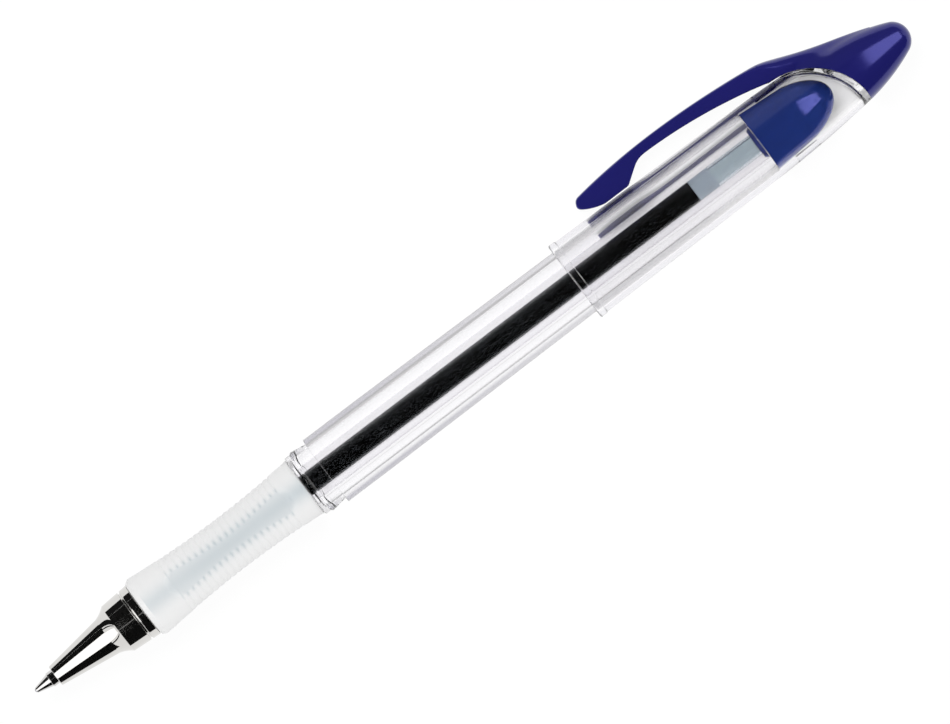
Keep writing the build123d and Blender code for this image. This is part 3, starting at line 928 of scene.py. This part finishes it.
bore_slope = (CAP_TAIL_BORE - CAP_MOUTH_BORE) / (barrel_rear - cap_mouth)
shoulder, neck_way = tangent_arc((barrel_rear, CAP_TAIL_BORE + CAP_WALL), (1, bore_slope), HEAD_NECK)
end_centre = head_rear - HEAD_END_RADIUS
end_turn = np.linspace(np.pi / 2 - HEAD_END_SLOPE, 0, END_ROWS)
head_end = HEAD_END_RADIUS * np.stack([np.cos(end_turn), np.sin(end_turn)], -1) + (end_centre, 0)
head_side = tangent_arc(HEAD_NECK, neck_way, head_end[0])[0]
head_profile = np.concatenate([shoulder, head_side[1:], head_end[1:]])


def radius_on(profile, x):
    """Radius of a wall at x, read off its profile of (x, radius)."""
    return np.interp(x, profile[:, 0], profile[:, 1])


def parting_x(z, radius=PARTING_RADIUS):
    """Where the parting cylinder lies at height z: centre + sqrt(R^2 - (z - centre)^2)."""
    return PARTING_CENTRE[0] + np.sqrt(radius**2 - (z - PARTING_CENTRE[1]) ** 2)


def parting_edge(profile, surface=PARTING_RADIUS):
    """Where a parting surface meets a wall, for every angle f: r = wall(parting(r cos f)), repeated."""
    radius = np.full_like(turn, HEAD_NECK[1])
    for _ in range(EDGE_PASSES):
        radius = radius_on(profile, parting_x(radius * np.cos(turn), surface))
    return parting_x(radius * np.cos(turn), surface), radius


edge_x, edge_radius = parting_edge(head_profile)
print("parting line from x", edge_x.min().round(2), "to", edge_x.max().round(2))

# %% [markdown]
# ## Clear cap
# A tube of even wall with a bead at its mouth, closed by a thin end wall that follows the parting surface.
# Two short steadying ribs lie beside the plug, and a hole in the end lets the pen's tip through. For each
# angle the outline runs from the bore round the mouth, along the wall to the parting line, in over the
# parting surface, through the hole, out over the end wall, round its corner and back along the inside, so
# one grid holds it all.

# %% Make the clear cap
MOUTH_CHAMFER = 0.2
BEAD_RADIUS = 6.221
BEAD_LENGTH = 1.2
BEAD_HEIGHT = 0.11
BEAD_ROUND = 0.3
CAP_END_WALL = 0.74
CAP_CORNER = 0.7
TIP_HOLE_RADIUS = 1.95
STEADY_RIBS = 2
STEADY_START = 129.8
STEADY_LENGTH = 3.6
STEADY_WIDTH = 0.9
STEADY_RADIUS = 4.63
STEADY_EDGE = 0.18
CAP_ROWS = 40
SIDE_ROWS = 24
HOLE_ROWS = 8
BEND_ROWS = 9
STEADY_ROWS = 48


def steadied(x, radius):
    """Inside radius with the ribs: inside a rib's box it shrinks to the ribs' own radius."""
    sector = 2 * np.pi / STEADY_RIBS
    from_rib = (turn + sector / 2) % sector - sector / 2
    off_side = STEADY_WIDTH / 2 - np.abs(radius * np.sin(from_rib))
    off_end = STEADY_LENGTH / 2 - np.abs(x - STEADY_START - STEADY_LENGTH / 2)
    inside = ease(off_side / STEADY_EDGE + 0.5) * ease(off_end / STEADY_EDGE + 0.5)
    return radius - inside * np.maximum(radius - STEADY_RADIUS, 0)


bead_end = cap_mouth + BEAD_LENGTH
bore_start = (cap_mouth + MOUTH_CHAMFER, CAP_MOUTH_BORE)
bore_bend = (barrel_rear, CAP_TAIL_BORE)
bore_arc = tangent_arc(bore_bend, (1, bore_slope), (HEAD_NECK[0], HEAD_NECK[1] - CAP_WALL))[0]
bore_profile = np.concatenate([[bore_start], bore_arc])
mouth = rounded_path(
    (*bore_bend, 0),
    (*bore_start, FINE_EDGE),
    (cap_mouth, CAP_MOUTH_BORE + MOUTH_CHAMFER, FINE_EDGE),
    (cap_mouth, BEAD_RADIUS, BEAD_ROUND),
    (bead_end - BEAD_HEIGHT, BEAD_RADIUS, FINE_EDGE),
    (bead_end, CAP_MOUTH_BORE + CAP_WALL + bore_slope * BEAD_LENGTH, FINE_EDGE),
    (barrel_rear, CAP_TAIL_BORE + CAP_WALL, 0),
)
share = np.linspace(0, 1, CAP_ROWS)[:, None]
shoulder_x = barrel_rear + share[1:] * (edge_x - barrel_rear)
end_r = edge_radius + share * (TIP_HOLE_RADIUS - edge_radius)
end_x = parting_x(end_r * np.cos(turn))

inner_surface = PARTING_RADIUS - CAP_END_WALL
corner_x, corner_r = parting_edge(bore_profile, inner_surface)
inner_r = TIP_HOLE_RADIUS + share * (corner_r - CAP_CORNER - TIP_HOLE_RADIUS)
inner_x = parting_x(inner_r * np.cos(turn), inner_surface)
hole_x = end_x[-1] + np.linspace(0, 1, HOLE_ROWS)[1:-1, None] * (inner_x[0] - end_x[-1])
side_start = corner_x - CAP_CORNER
bend = np.linspace(0, 1, BEND_ROWS)[1:-1, None]
bend_x = (1 - bend) ** 2 * inner_x[-1] + 2 * bend * (1 - bend) * corner_x + bend**2 * side_start
bend_r = (1 - bend) ** 2 * inner_r[-1] + 2 * bend * (1 - bend) * corner_r
bend_r = bend_r + bend**2 * radius_on(bore_profile, side_start)
rib_end = STEADY_START + STEADY_LENGTH + STEADY_EDGE
side_x = side_start + share[:SIDE_ROWS] / share[SIDE_ROWS] * (rib_end - side_start)
rib_x = np.linspace(rib_end, barrel_rear + LOOP_START, STEADY_ROWS)[:, None]
stretches = [
    (mouth[:, :1], mouth[:, 1:]),
    (shoulder_x, radius_on(head_profile, shoulder_x)),
    (end_x, end_r),
    (hole_x, TIP_HOLE_RADIUS),
    (inner_x, inner_r),
    (bend_x, bend_r),
    (side_x, radius_on(bore_profile, side_x)),
    (rib_x, steadied(rib_x, radius_on(bore_profile, rib_x))),
]
cap_grid = np.concatenate([spin(x, r * np.ones_like(turn)) for x, r in stretches])
cap_r = np.hypot(cap_grid[..., 1], cap_grid[..., 2])
# Painted rim shade on the cap's outer skin.
cap_painted_rim = (cap_r > radius_on(bore_profile, cap_grid[..., 0]) + CAP_WALL / 2).astype(float)
cap_skin = skin("clear_cap", cap_grid, closed=True, outside=cap_painted_rim)
dress(cap_skin, "cap_body", "cap", clear_cap)

# %% [markdown]
# ## Clip and head
# The blue moulding starts as a flat spring arm and grows into the round head. Sections square to the axis
# show both: the arm is a box with rounded corners, the head is a circle, and the parting surface cuts the
# circle from below. Each section is found along rays from a centre. A ray leaves a box at the nearest of
# its sides, and a soft minimum, the p-norm, rounds the corners. A soft maximum joins arm and head.

# %% Side and plan of the clip arm
KNEE = (133.38, 8.851)
KNEE_ROUND = 1.4
ARM_LENGTH = 32.65
CROWN_Z = 10.081
CROWN_AT = 15.6
ARM_THICKNESS = 1.67
NOSE_SETBACK = 0.8
NOSE_DROP = 0.95
ARM_SLOPE = np.radians(21.8)
PAD_START = 3.9
PAD_LENGTH = 4.0
PAD_RISE = 3.3
PAD_Z = 6.051
NOSE_HEIGHT = 1.75
BELLY = 0.26
UNDERSIDE_BULGE = 0.7
ARM_ROOT_Z = 5.72
NOSE_HALF_WIDTH = 2.1
ROOT_HALF_WIDTH = 2.6
TAIL_HALF_WIDTH = 0.9
TAIL_AT = 148.76
NOSE_ROUND = 0.6
CHIN_ROUND = 0.95
SEAM_GAP = 0.03
SEAM_ROWS = 80
NOSE_TOP_ROUND = 0.5
PAD_ROUND = 0.2
ARCH_ROUND = 1.2
PLAN_ROUND = 2
KNEE_SKIP, NOSE_SKIP, CHIN_SKIP, PAD_SKIP, ARCH_SKIP = 4, 3, 14, 5, 4


def arc_through(start, middle, end, steps=40):
    """Quadratic curve with its middle point given: start (1-s)(1-2s) + 4 s (1-s) middle + s (2s-1) end."""
    s = np.linspace(0, 1, steps)[:, None]
    start, middle, end = (np.array(point, float) for point in (start, middle, end))
    return start * (1 - s) * (1 - 2 * s) + 4 * s * (1 - s) * middle + s * (2 * s - 1) * end


nose_x = KNEE[0] - ARM_LENGTH
nose_low = (nose_x, PAD_Z + NOSE_HEIGHT)
nose_top = (nose_x + NOSE_SETBACK, CROWN_Z - NOSE_DROP)
pad = (nose_x + PAD_START, PAD_Z)
pad_end = (pad[0] + PAD_LENGTH, PAD_Z)
arch_start = (pad_end[0] + PAD_RISE, CROWN_Z - ARM_THICKNESS)
arm_root = (PARTING_CENTRE[0], ARM_ROOT_Z)
slope_end = (KNEE[0] + KNEE[1] / np.tan(ARM_SLOPE), 0)
back = arc_through(KNEE, (nose_x + CROWN_AT, CROWN_Z), nose_top)
belly = arc_through(nose_low, np.add(nose_low, pad) / 2 - (0, BELLY), pad)
arch = arc_through(arch_start, np.add(arch_start, arm_root) / 2 + (0, UNDERSIDE_BULGE), arm_root)
seam_turn = np.linspace(0, np.pi / 2, SEAM_ROWS)[1:]
seam = PARTING_CENTRE + (PARTING_RADIUS + SEAM_GAP) * np.stack([np.sin(seam_turn), np.cos(seam_turn)], -1)
side = np.concatenate([
    rounded_path((*slope_end, 0), (*KNEE, KNEE_ROUND), (*back[KNEE_SKIP], 0)),
    back[KNEE_SKIP + 1:-NOSE_SKIP],
    rounded_path(
        (*back[-NOSE_SKIP], 0), (*nose_top, NOSE_TOP_ROUND), (*nose_low, CHIN_ROUND), (*belly[CHIN_SKIP], 0),
    ),
    belly[CHIN_SKIP + 1:-PAD_SKIP],
    rounded_path(
        (*belly[-PAD_SKIP], 0), (*pad, PAD_ROUND), (*pad_end, PAD_ROUND), (*arch_start, ARCH_ROUND),
        (*arch[ARCH_SKIP], 0),
    ),
    arch[ARCH_SKIP + 1:],
    seam,
])
foremost = side[:, 0].argmin()
upper, lower = side[: foremost + 1][::-1], side[foremost:]
plan = rounded_path(
    (nose_x, NOSE_HALF_WIDTH, 0), (KNEE[0], ROOT_HALF_WIDTH, PLAN_ROUND), (TAIL_AT, TAIL_HALF_WIDTH, 0),
)
print("clip from x", side[foremost, 0].round(2), "slopes into the head until", TAIL_AT)

# %% Sections of clip and head
SECTION_COLUMNS = 144
ARM_SOFTNESS = 6
RIDGE_SOFTNESS = 2.4
RIDGE_LENGTH = 6.0
SEAM_SOFTNESS = 14
JOIN_BLEND = 0.4
GROWTH_LENGTH = 8
ARM_CENTRE = 0.5
CENTRE_DROP = 0.3
STATION_STEPS = 90
NOSE_STRETCH = 3
ROOT_LEAD = 1.5
section_turn = np.arange(SECTION_COLUMNS) * 2 * np.pi / SECTION_COLUMNS
across_turn, up_turn = np.sin(section_turn), np.cos(section_turn)


def clip_sections(x):
    """Points of the section at each x: centre + ray * (width sin f, height cos f).

    The arm's ray ends at its sides and back, joined by a soft minimum of order p, which falls as the arm
    becomes a ridge. The head's ray solves |centre + ray| = R. The longer one counts, with the blend
    max(a, b) + max(k - |a - b|, 0)^2 / 4k, and is cut off at the underside.
    """
    top = np.interp(x, upper[:, 0], upper[:, 1])
    floor = np.where(x < lower[-1, 0], np.interp(x, lower[:, 0], lower[:, 1]), -2 * HEAD_NECK[1])
    nose_share = np.clip(1 - (x - nose_x) / NOSE_ROUND, 0, 1)
    width = np.interp(x, plan[:, 0], plan[:, 1]) - NOSE_ROUND * (1 - np.sqrt(1 - nose_share**2))
    radius = np.where(x > arm_root[0], radius_on(head_profile, x), 0)
    grown = ease((x - arm_root[0] + GROWTH_LENGTH / 2) / GROWTH_LENGTH)
    centre = floor + (ARM_CENTRE - CENTRE_DROP * grown) * (top - floor)
    centre = np.where(x > arm_root[0], np.maximum(centre, 0), centre)
    wide = width + grown * (radius - width)
    high = (top - floor) / 2
    high = high + grown * (radius - high)

    to_side = wide * np.abs(across_turn) / width
    to_back = high * np.maximum(up_turn, 0) / np.maximum(top - centre, MERGE)
    to_root = high * np.maximum(-up_turn, 0) / np.maximum(centre - np.maximum(floor, 0), MERGE)
    ridged = ease((x - arm_root[0] + RIDGE_LENGTH / 2) / RIDGE_LENGTH)
    softness = ARM_SOFTNESS + (RIDGE_SOFTNESS - ARM_SOFTNESS) * ridged
    arm = (to_side**softness + to_back**softness) ** (-1 / softness)
    arm = np.minimum(arm, 1 / np.maximum(to_root, MERGE))
    arm = np.where(x < TAIL_AT, arm, 0)
    squares = (wide * across_turn) ** 2 + (high * up_turn) ** 2 + MERGE**2
    lean = centre * high * up_turn
    inside = lean**2 - squares * (centre**2 - radius**2)
    head = np.where(inside > 0, (np.sqrt(np.maximum(inside, 0)) - lean) / squares, 0)
    ray = np.maximum(np.maximum(arm, head), MERGE)
    ray = ray + np.maximum(JOIN_BLEND - np.abs(arm - head), 0) ** 2 / (4 * JOIN_BLEND)
    to_floor = high * np.maximum(-up_turn, 0) / np.maximum(centre - floor, MERGE)
    ray = (ray**-SEAM_SOFTNESS + to_floor**SEAM_SOFTNESS) ** (-1 / SEAM_SOFTNESS)
    return np.stack(np.broadcast_arrays(x, ray * wide * across_turn, centre + ray * high * up_turn), -1)


steps = np.linspace(0, 1, STATION_STEPS)[:, None]
nose_end, root_start, seam_end = side[foremost, 0], arm_root[0] - ROOT_LEAD, lower[-1, 0]
stations = np.concatenate([
    nose_end + NOSE_STRETCH * steps[::4] ** 2,
    nose_end + NOSE_STRETCH + steps[1:-1] * (root_start - nose_end - NOSE_STRETCH),
    seam_end - (seam_end - root_start) * (1 - steps) ** 2 - MERGE,
    seam_end + MERGE + (head_rear - seam_end - MERGE) * np.sin(steps * np.pi / 2),
])
clip = skin("clip_and_head", clip_sections(stations), closed=False)
print("clip and head of", len(stations), "sections")

# %% [markdown]
# ## The well in the head
# Behind the hole in the clear cap the head has a tapered well for the pen's tip. A Boolean cuts it more
# simply than a grid could, because its round rim lies on the curved parting surface. The cut is applied,
# so that the piece keeps a plain mesh.

# %% Cut the well and dress the clip
WELL_START = 140.0
WELL_RIM = 140.5
WELL_END = 146.3
WELL_END_RADIUS = 0.9

well = turned("well_cutter", rounded_path(
    (WELL_START, 0, 0),
    (WELL_START, TIP_HOLE_RADIUS, 0),
    (WELL_RIM, TIP_HOLE_RADIUS, 0),
    (WELL_END, WELL_END_RADIUS, SOFT_EDGE),
    (WELL_END, 0, 0),
))
cut = clip.modifiers.new("well", "BOOLEAN")
cut.object = well
cut.solver = "EXACT"
bpy.context.view_layer.update()
cut_mesh = bpy.data.meshes.new_from_object(clip.evaluated_get(bpy.context.evaluated_depsgraph_get()))
clip.modifiers.clear()
clip.data = cut_mesh
bpy.data.objects.remove(well)
dress(clip, "cap_clip", "cap", blue_clip)

# %% [markdown]
# ## Camera
# The photo looks square at the pen, with the clip in plain side view, from steeply above the table. A long
# lens keeps the pen's ends the same size. The field is 950 pixels wide at 7.163 pixels to the millimetre,
# and the pen climbs to the upper right at 37.2 degrees.

# %% Set the camera
PIXELS_WIDE = 950
PIXELS_PER_MM = 7.163
PEN_CLIMB = np.radians(37.2)
AIM = (76.7, -0.49)
LENS = 500.0
SENSOR = 36.0

right = np.cos(PEN_CLIMB) * along - np.sin(PEN_CLIMB) * clip_way
up = np.sin(PEN_CLIMB) * along + np.cos(PEN_CLIMB) * clip_way
aim = to_frame(np.array((AIM[0], 0, AIM[1])))
distance = PIXELS_WIDE / PIXELS_PER_MM * MM * LENS / SENSOR
lens = bpy.data.cameras.new("photo_lens")
lens.lens = LENS
lens.sensor_width = SENSOR
camera = placed("photo_camera", lens)
turned_to = Matrix(np.stack([right, up, viewer_way], -1).tolist()).to_4x4()
camera.matrix_world = Matrix.Translation(Vector(aim + distance * viewer_way)) @ turned_to
bpy.context.scene.camera = camera
print("camera", round(distance, 3), "m from the pen")

# %% [markdown]
# ## Studio
# The pen lies on a plain pale table in broad, soft light. Seen by the camera, or in metal, the table is
# nearly white by itself and keeps a little real shadow. Seen through clear plastic it keeps more of it,
# because there it lies right under the pen. The sky is white for the same rays and a plain grey for the
# light that it gives.

# %% Table and sky
TABLE_HALF = 1.5
TABLE_GLOW = 0.97
TABLE_SHARE = 0.012
TABLE_GLOW_THROUGH = 0.40
TABLE_SHARE_THROUGH = 0.17
TABLE_BOUNCE = 0.2
SKY_LIGHT = 0.95
TABLE_GAP = 0.02


def seen_rays(tree):
    """1 for camera, glossy and transmission rays, else 0."""
    path = tree.nodes.new("ShaderNodeLightPath")
    total = path.outputs["Is Camera Ray"]
    for name in ("Is Glossy Ray", "Is Transmission Ray"):
        total = combined(tree, "MAXIMUM", total, path.outputs[name])
    return total


def panel(name, points, quads, *materials):
    """Stage surface of points in the frame and quads of their numbers."""
    mesh = bpy.data.meshes.new(name)
    mesh.from_pydata(points.reshape(-1, 3).tolist(), [], quads.tolist())
    for material in materials:
        mesh.materials.append(material)
    surface = placed(name, mesh)
    surface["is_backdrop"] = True
    return surface


def flat_card(name, x_ends, y_ends, z, material):
    """Level rectangle between two ends of x and of y, in metres."""
    (x0, x1), (y0, y1) = x_ends, y_ends
    corners = np.array([(x0, y0, z), (x1, y0, z), (x1, y1, z), (x0, y1, z)])
    return panel(name, corners, np.arange(4)[None], material)


def grid_quads(kept):
    """Quads of a grid of points, one for each cell that is kept: (i, j), (i, j+1), (i+1, j+1), (i+1, j)."""
    columns = kept.shape[1] + 1
    i, j = np.nonzero(kept)
    first = i * columns + j
    return np.stack([first, first + 1, first + columns + 1, first + columns], -1)


def seen_only(surface, *rays):
    """The surface shows to those kinds of ray alone, and casts no shadow."""
    for ray in {"camera", "diffuse", "glossy", "transmission", "volume_scatter", "shadow"} - set(rays):
        setattr(surface, "visible_" + ray, False)


def lit_paper(tree, glow, share):
    """Paper that glows by itself and adds its share of real light and shadow."""
    emission, diffuse = tree.nodes.new("ShaderNodeEmission"), tree.nodes.new("ShaderNodeBsdfDiffuse")
    emission.inputs["Strength"].default_value = glow
    diffuse.inputs["Color"].default_value = (share, share, share, 1)
    both = tree.nodes.new("ShaderNodeAddShader")
    tree.links.new(emission.outputs[0], both.inputs[0])
    tree.links.new(diffuse.outputs[0], both.inputs[1])
    return both.outputs[0]


def choose(tree, switch, plain, special):
    """The special shader where the switch is 1, else the plain one."""
    mixer = tree.nodes.new("ShaderNodeMixShader")
    for socket, source in zip(mixer.inputs, (switch, plain, special)):
        tree.links.new(source, socket)
    return mixer.outputs[0]


table_white = bpy.data.materials.new("table_white")
table_white.use_nodes = True
tree = table_white.node_tree
tree.nodes.remove(tree.nodes["Principled BSDF"])
through = tree.nodes.new("ShaderNodeLightPath").outputs["Is Transmission Ray"]
seen = choose(
    tree,
    through,
    lit_paper(tree, TABLE_GLOW, TABLE_SHARE),
    lit_paper(tree, TABLE_GLOW_THROUGH, TABLE_SHARE_THROUGH),
)
table_look = choose(tree, seen_rays(tree), lit_paper(tree, 0.0, TABLE_BOUNCE), seen)
tree.links.new(table_look, tree.nodes["Material Output"].inputs["Surface"])
table_z = cad_box[0].z - TABLE_GAP * MM
table = flat_card("table", (-TABLE_HALF, TABLE_HALF), (-TABLE_HALF, TABLE_HALF), table_z, table_white)

world = bpy.data.worlds.new("studio_sky")
bpy.context.scene.world = world
world.use_nodes = True
sky = world.node_tree
background = sky.nodes["Background"]
background.inputs["Color"].default_value = (1, 1, 1, 1)
sky.links.new(spread(sky, seen_rays(sky), SKY_LIGHT, 1, start=0, end=1), background.inputs["Strength"])
print("table at", round(table_z / MM, 3), "mm")

# %% [markdown]
# ## Black tent
# Bright metal shows its surroundings, so a photographer builds them: a dark tent over the pen with a lit
# pane beyond the nose and one beyond the tail. The plating then shows white, black and white again, and the
# clear barrel has no veil over the ink. The tent is a half pipe along the pen, seen only in metal and
# plastic. Cards on the table, black before the nose and dim beside the pen, do the same below the horizon.

# %% Pitch the tent
TENT_RADIUS = 0.6
TENT_FRONT = -0.46
TENT_REAR = 2.4
TENT_FLOOR_GAP = np.radians(15)
FRONT_PANE = (-2.4, -0.17)
FRONT_TURNS = np.radians((-36, 28))
REAR_PANE = (0.36, 1.3)
REAR_TURNS = np.radians((-26, 38))
RIBBON_TURNS = np.radians((-58, -50, 50, 58))
SLIT = (-0.17, -0.06)
SLIT_TURNS = np.radians((-9, -7))
CLOTH_GLOWS = {"black_cloth": 0.0, "front_pane": 1.6, "rear_pane": 3.4, "slit_pane": 0.30, "dim_cloth": 0.14}
CLOTH_SOCKETS = {
    "Base_Color": (0.01, 0.01, 0.01, 1),
    "Specular_IOR_Level": 0.0,
    "Emission_Color": (1, 1, 1, 1),
}
TENT_STEPS = 4
LIFT = 0.01 * MM
CARD_START = 15.0
CARD_END = -0.05
CARD_REACH = 1.0
LIGHTING_DEPTH = 0.5


def tent_cloth(name, strength):
    """Black cloth that may glow, and lets light through that goes on to fall on a surface."""
    material, tree, shader = finish(name, Emission_Strength=strength, **CLOTH_SOCKETS)
    depth = tree.nodes.new("ShaderNodeLightPath").outputs["Diffuse Depth"]
    lighting = combined(tree, "GREATER_THAN", depth, LIGHTING_DEPTH)
    gone = tree.nodes.new("ShaderNodeBsdfTransparent")
    look = choose(tree, lighting, shader.outputs["BSDF"], gone.outputs["BSDF"])
    tree.links.new(look, tree.nodes["Material Output"].inputs["Surface"])
    return material


def tent_points(x, angle):
    """Half pipe: x along the pen and R (cos f, sin f), with f from the camera's side towards the clip."""
    ring = np.cos(angle)[..., None] * viewer_way + np.sin(angle)[..., None] * clip_way
    return aim * (0, 1, 1) + x[..., None] * along + TENT_RADIUS * ring


def within(values, ends):
    """True where a value lies between the two ends."""
    return (values > ends[0]) & (values < ends[1])


horizon = np.arctan2(viewer_way[2], -clip_way[2])
tent_floor = horizon - np.pi + TENT_FLOOR_GAP
tent_turns = np.sort([tent_floor, *FRONT_TURNS, *REAR_TURNS, *RIBBON_TURNS, *SLIT_TURNS, horizon])
between = np.linspace(tent_turns[:-1], tent_turns[1:], TENT_STEPS)[:-1].T.ravel()
tent_turns = np.concatenate([between, tent_turns[-1:]])
tent_x = np.unique([*FRONT_PANE, TENT_FRONT, *SLIT, *REAR_PANE, TENT_REAR])
grid_x, grid_turn = np.meshgrid(tent_x, tent_turns, indexing="ij")
cell_x = (grid_x[1:, 1:] + grid_x[:-1, :-1]) / 2
cell_turn = (grid_turn[1:, 1:] + grid_turn[:-1, :-1]) / 2
front_lit = within(cell_x, FRONT_PANE) & within(cell_turn, FRONT_TURNS)
rear_lit = within(cell_x, REAR_PANE) & within(cell_turn, REAR_TURNS)
slit_lit = within(cell_x, SLIT) & within(cell_turn, SLIT_TURNS)
dim = (cell_x > SLIT[1]) & (cell_turn > REAR_TURNS[1])
ribbon = within(cell_turn, RIBBON_TURNS[:2]) | within(cell_turn, RIBBON_TURNS[2:])
kept = (cell_x > TENT_FRONT) | front_lit | ribbon
cloth = np.select([front_lit, rear_lit, slit_lit, dim], [1, 2, 3, 4], 0)
cloths = [tent_cloth(name, glow) for name, glow in CLOTH_GLOWS.items()]
tent = panel("tent", tent_points(grid_x, grid_turn), grid_quads(kept), *cloths)
tent.data.polygons.foreach_set("material_index", cloth[kept].astype(np.int32))
seen_only(tent, "glossy", "transmission")

card_y = (tip[1] + CARD_START * MM, CARD_REACH)
cards = (("black_card", (-TENT_REAR, CARD_END), cloths[0]), ("dim_card", (CARD_END, TENT_REAR), cloths[-1]))
for name, card_x, card_cloth in cards:
    seen_only(flat_card(name, card_x, card_y, table_z + LIFT, card_cloth), "glossy", "transmission")
print("tent of", kept.sum(), "cells")

# %% [markdown]
# ## Light
# One large softbox near the camera models the pen, on top of the sky's even light. A smaller one stands on
# the clip's side and lights the table alone: its light goes straight through the clear pieces, so the
# refill and the clip throw their soft shades on the table there. Clear plastic needs many bounces: a ray to
# the refill and back crosses the cap, the barrel and the pipe, twelve faces in all.

# %% Softboxes and bounces
SOFTBOX_SIZE = 0.5
SOFTBOX_DISTANCE = 0.8
SOFTBOX_POWER = 0.5
TABLE_LAMP_SIZE = 0.25
TABLE_LAMP_POWER = 26.0
TABLE_LAMP_LEAN = np.radians(41)
BOUNCES = 32
GLOSSY_BOUNCES = 12


def softbox(name, size, power, way):
    """Square lamp at SOFTBOX_DISTANCE from the pen on the given way, which shows in no metal or glass."""
    lamp = bpy.data.lights.new(name, "AREA")
    lamp.shape = "SQUARE"
    lamp.size = size
    lamp.energy = power
    stand = placed(name, lamp)
    way = Vector(way).normalized()
    stand.location = Vector(aim) + way * SOFTBOX_DISTANCE
    stand.rotation_mode = "QUATERNION"
    stand.rotation_quaternion = way.to_track_quat("Z", "Y")
    stand.visible_glossy = False
    stand.visible_transmission = False
    return stand


def gathered(name, *members):
    """Collection of those objects, for a lamp to choose by."""
    group = bpy.data.collections.new(name)
    for member in members:
        group.objects.link(member)
    return group


softbox("softbox", SOFTBOX_SIZE, SOFTBOX_POWER, viewer_way)
table_way = np.array((0, np.sin(TABLE_LAMP_LEAN), np.cos(TABLE_LAMP_LEAN)))
table_lamp = softbox("table_lamp", TABLE_LAMP_SIZE, TABLE_LAMP_POWER, table_way)
table_lamp.light_linking.receiver_collection = gathered("lit_table", table)
dense = ("turned_point", "plated_nose", "rubber_grip", "ink_thread", "tail_plug", "clip_and_head")
dense_pieces = gathered("dense_pieces", *(bpy.data.objects[name] for name in dense))
table_lamp.light_linking.blocker_collection = dense_pieces

scene = bpy.context.scene
scene.cycles.max_bounces = BOUNCES
scene.cycles.transmission_bounces = BOUNCES
scene.cycles.glossy_bounces = GLOSSY_BOUNCES
scene.view_settings.view_transform = "Standard"
print("softboxes", SOFTBOX_POWER, "and", TABLE_LAMP_POWER, "W")

# %% [markdown]
# ## Sizes
# The skins are meant to keep the pen's size, so the box of the dressed pen is set against the box of the
# imported model, and how much it grows is printed.

# %% Compare the boxes
seen_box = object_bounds()
growth = (np.array(seen_box) - np.array(cad_box)) / MM
print("box grows by", growth.ravel().round(3).tolist())
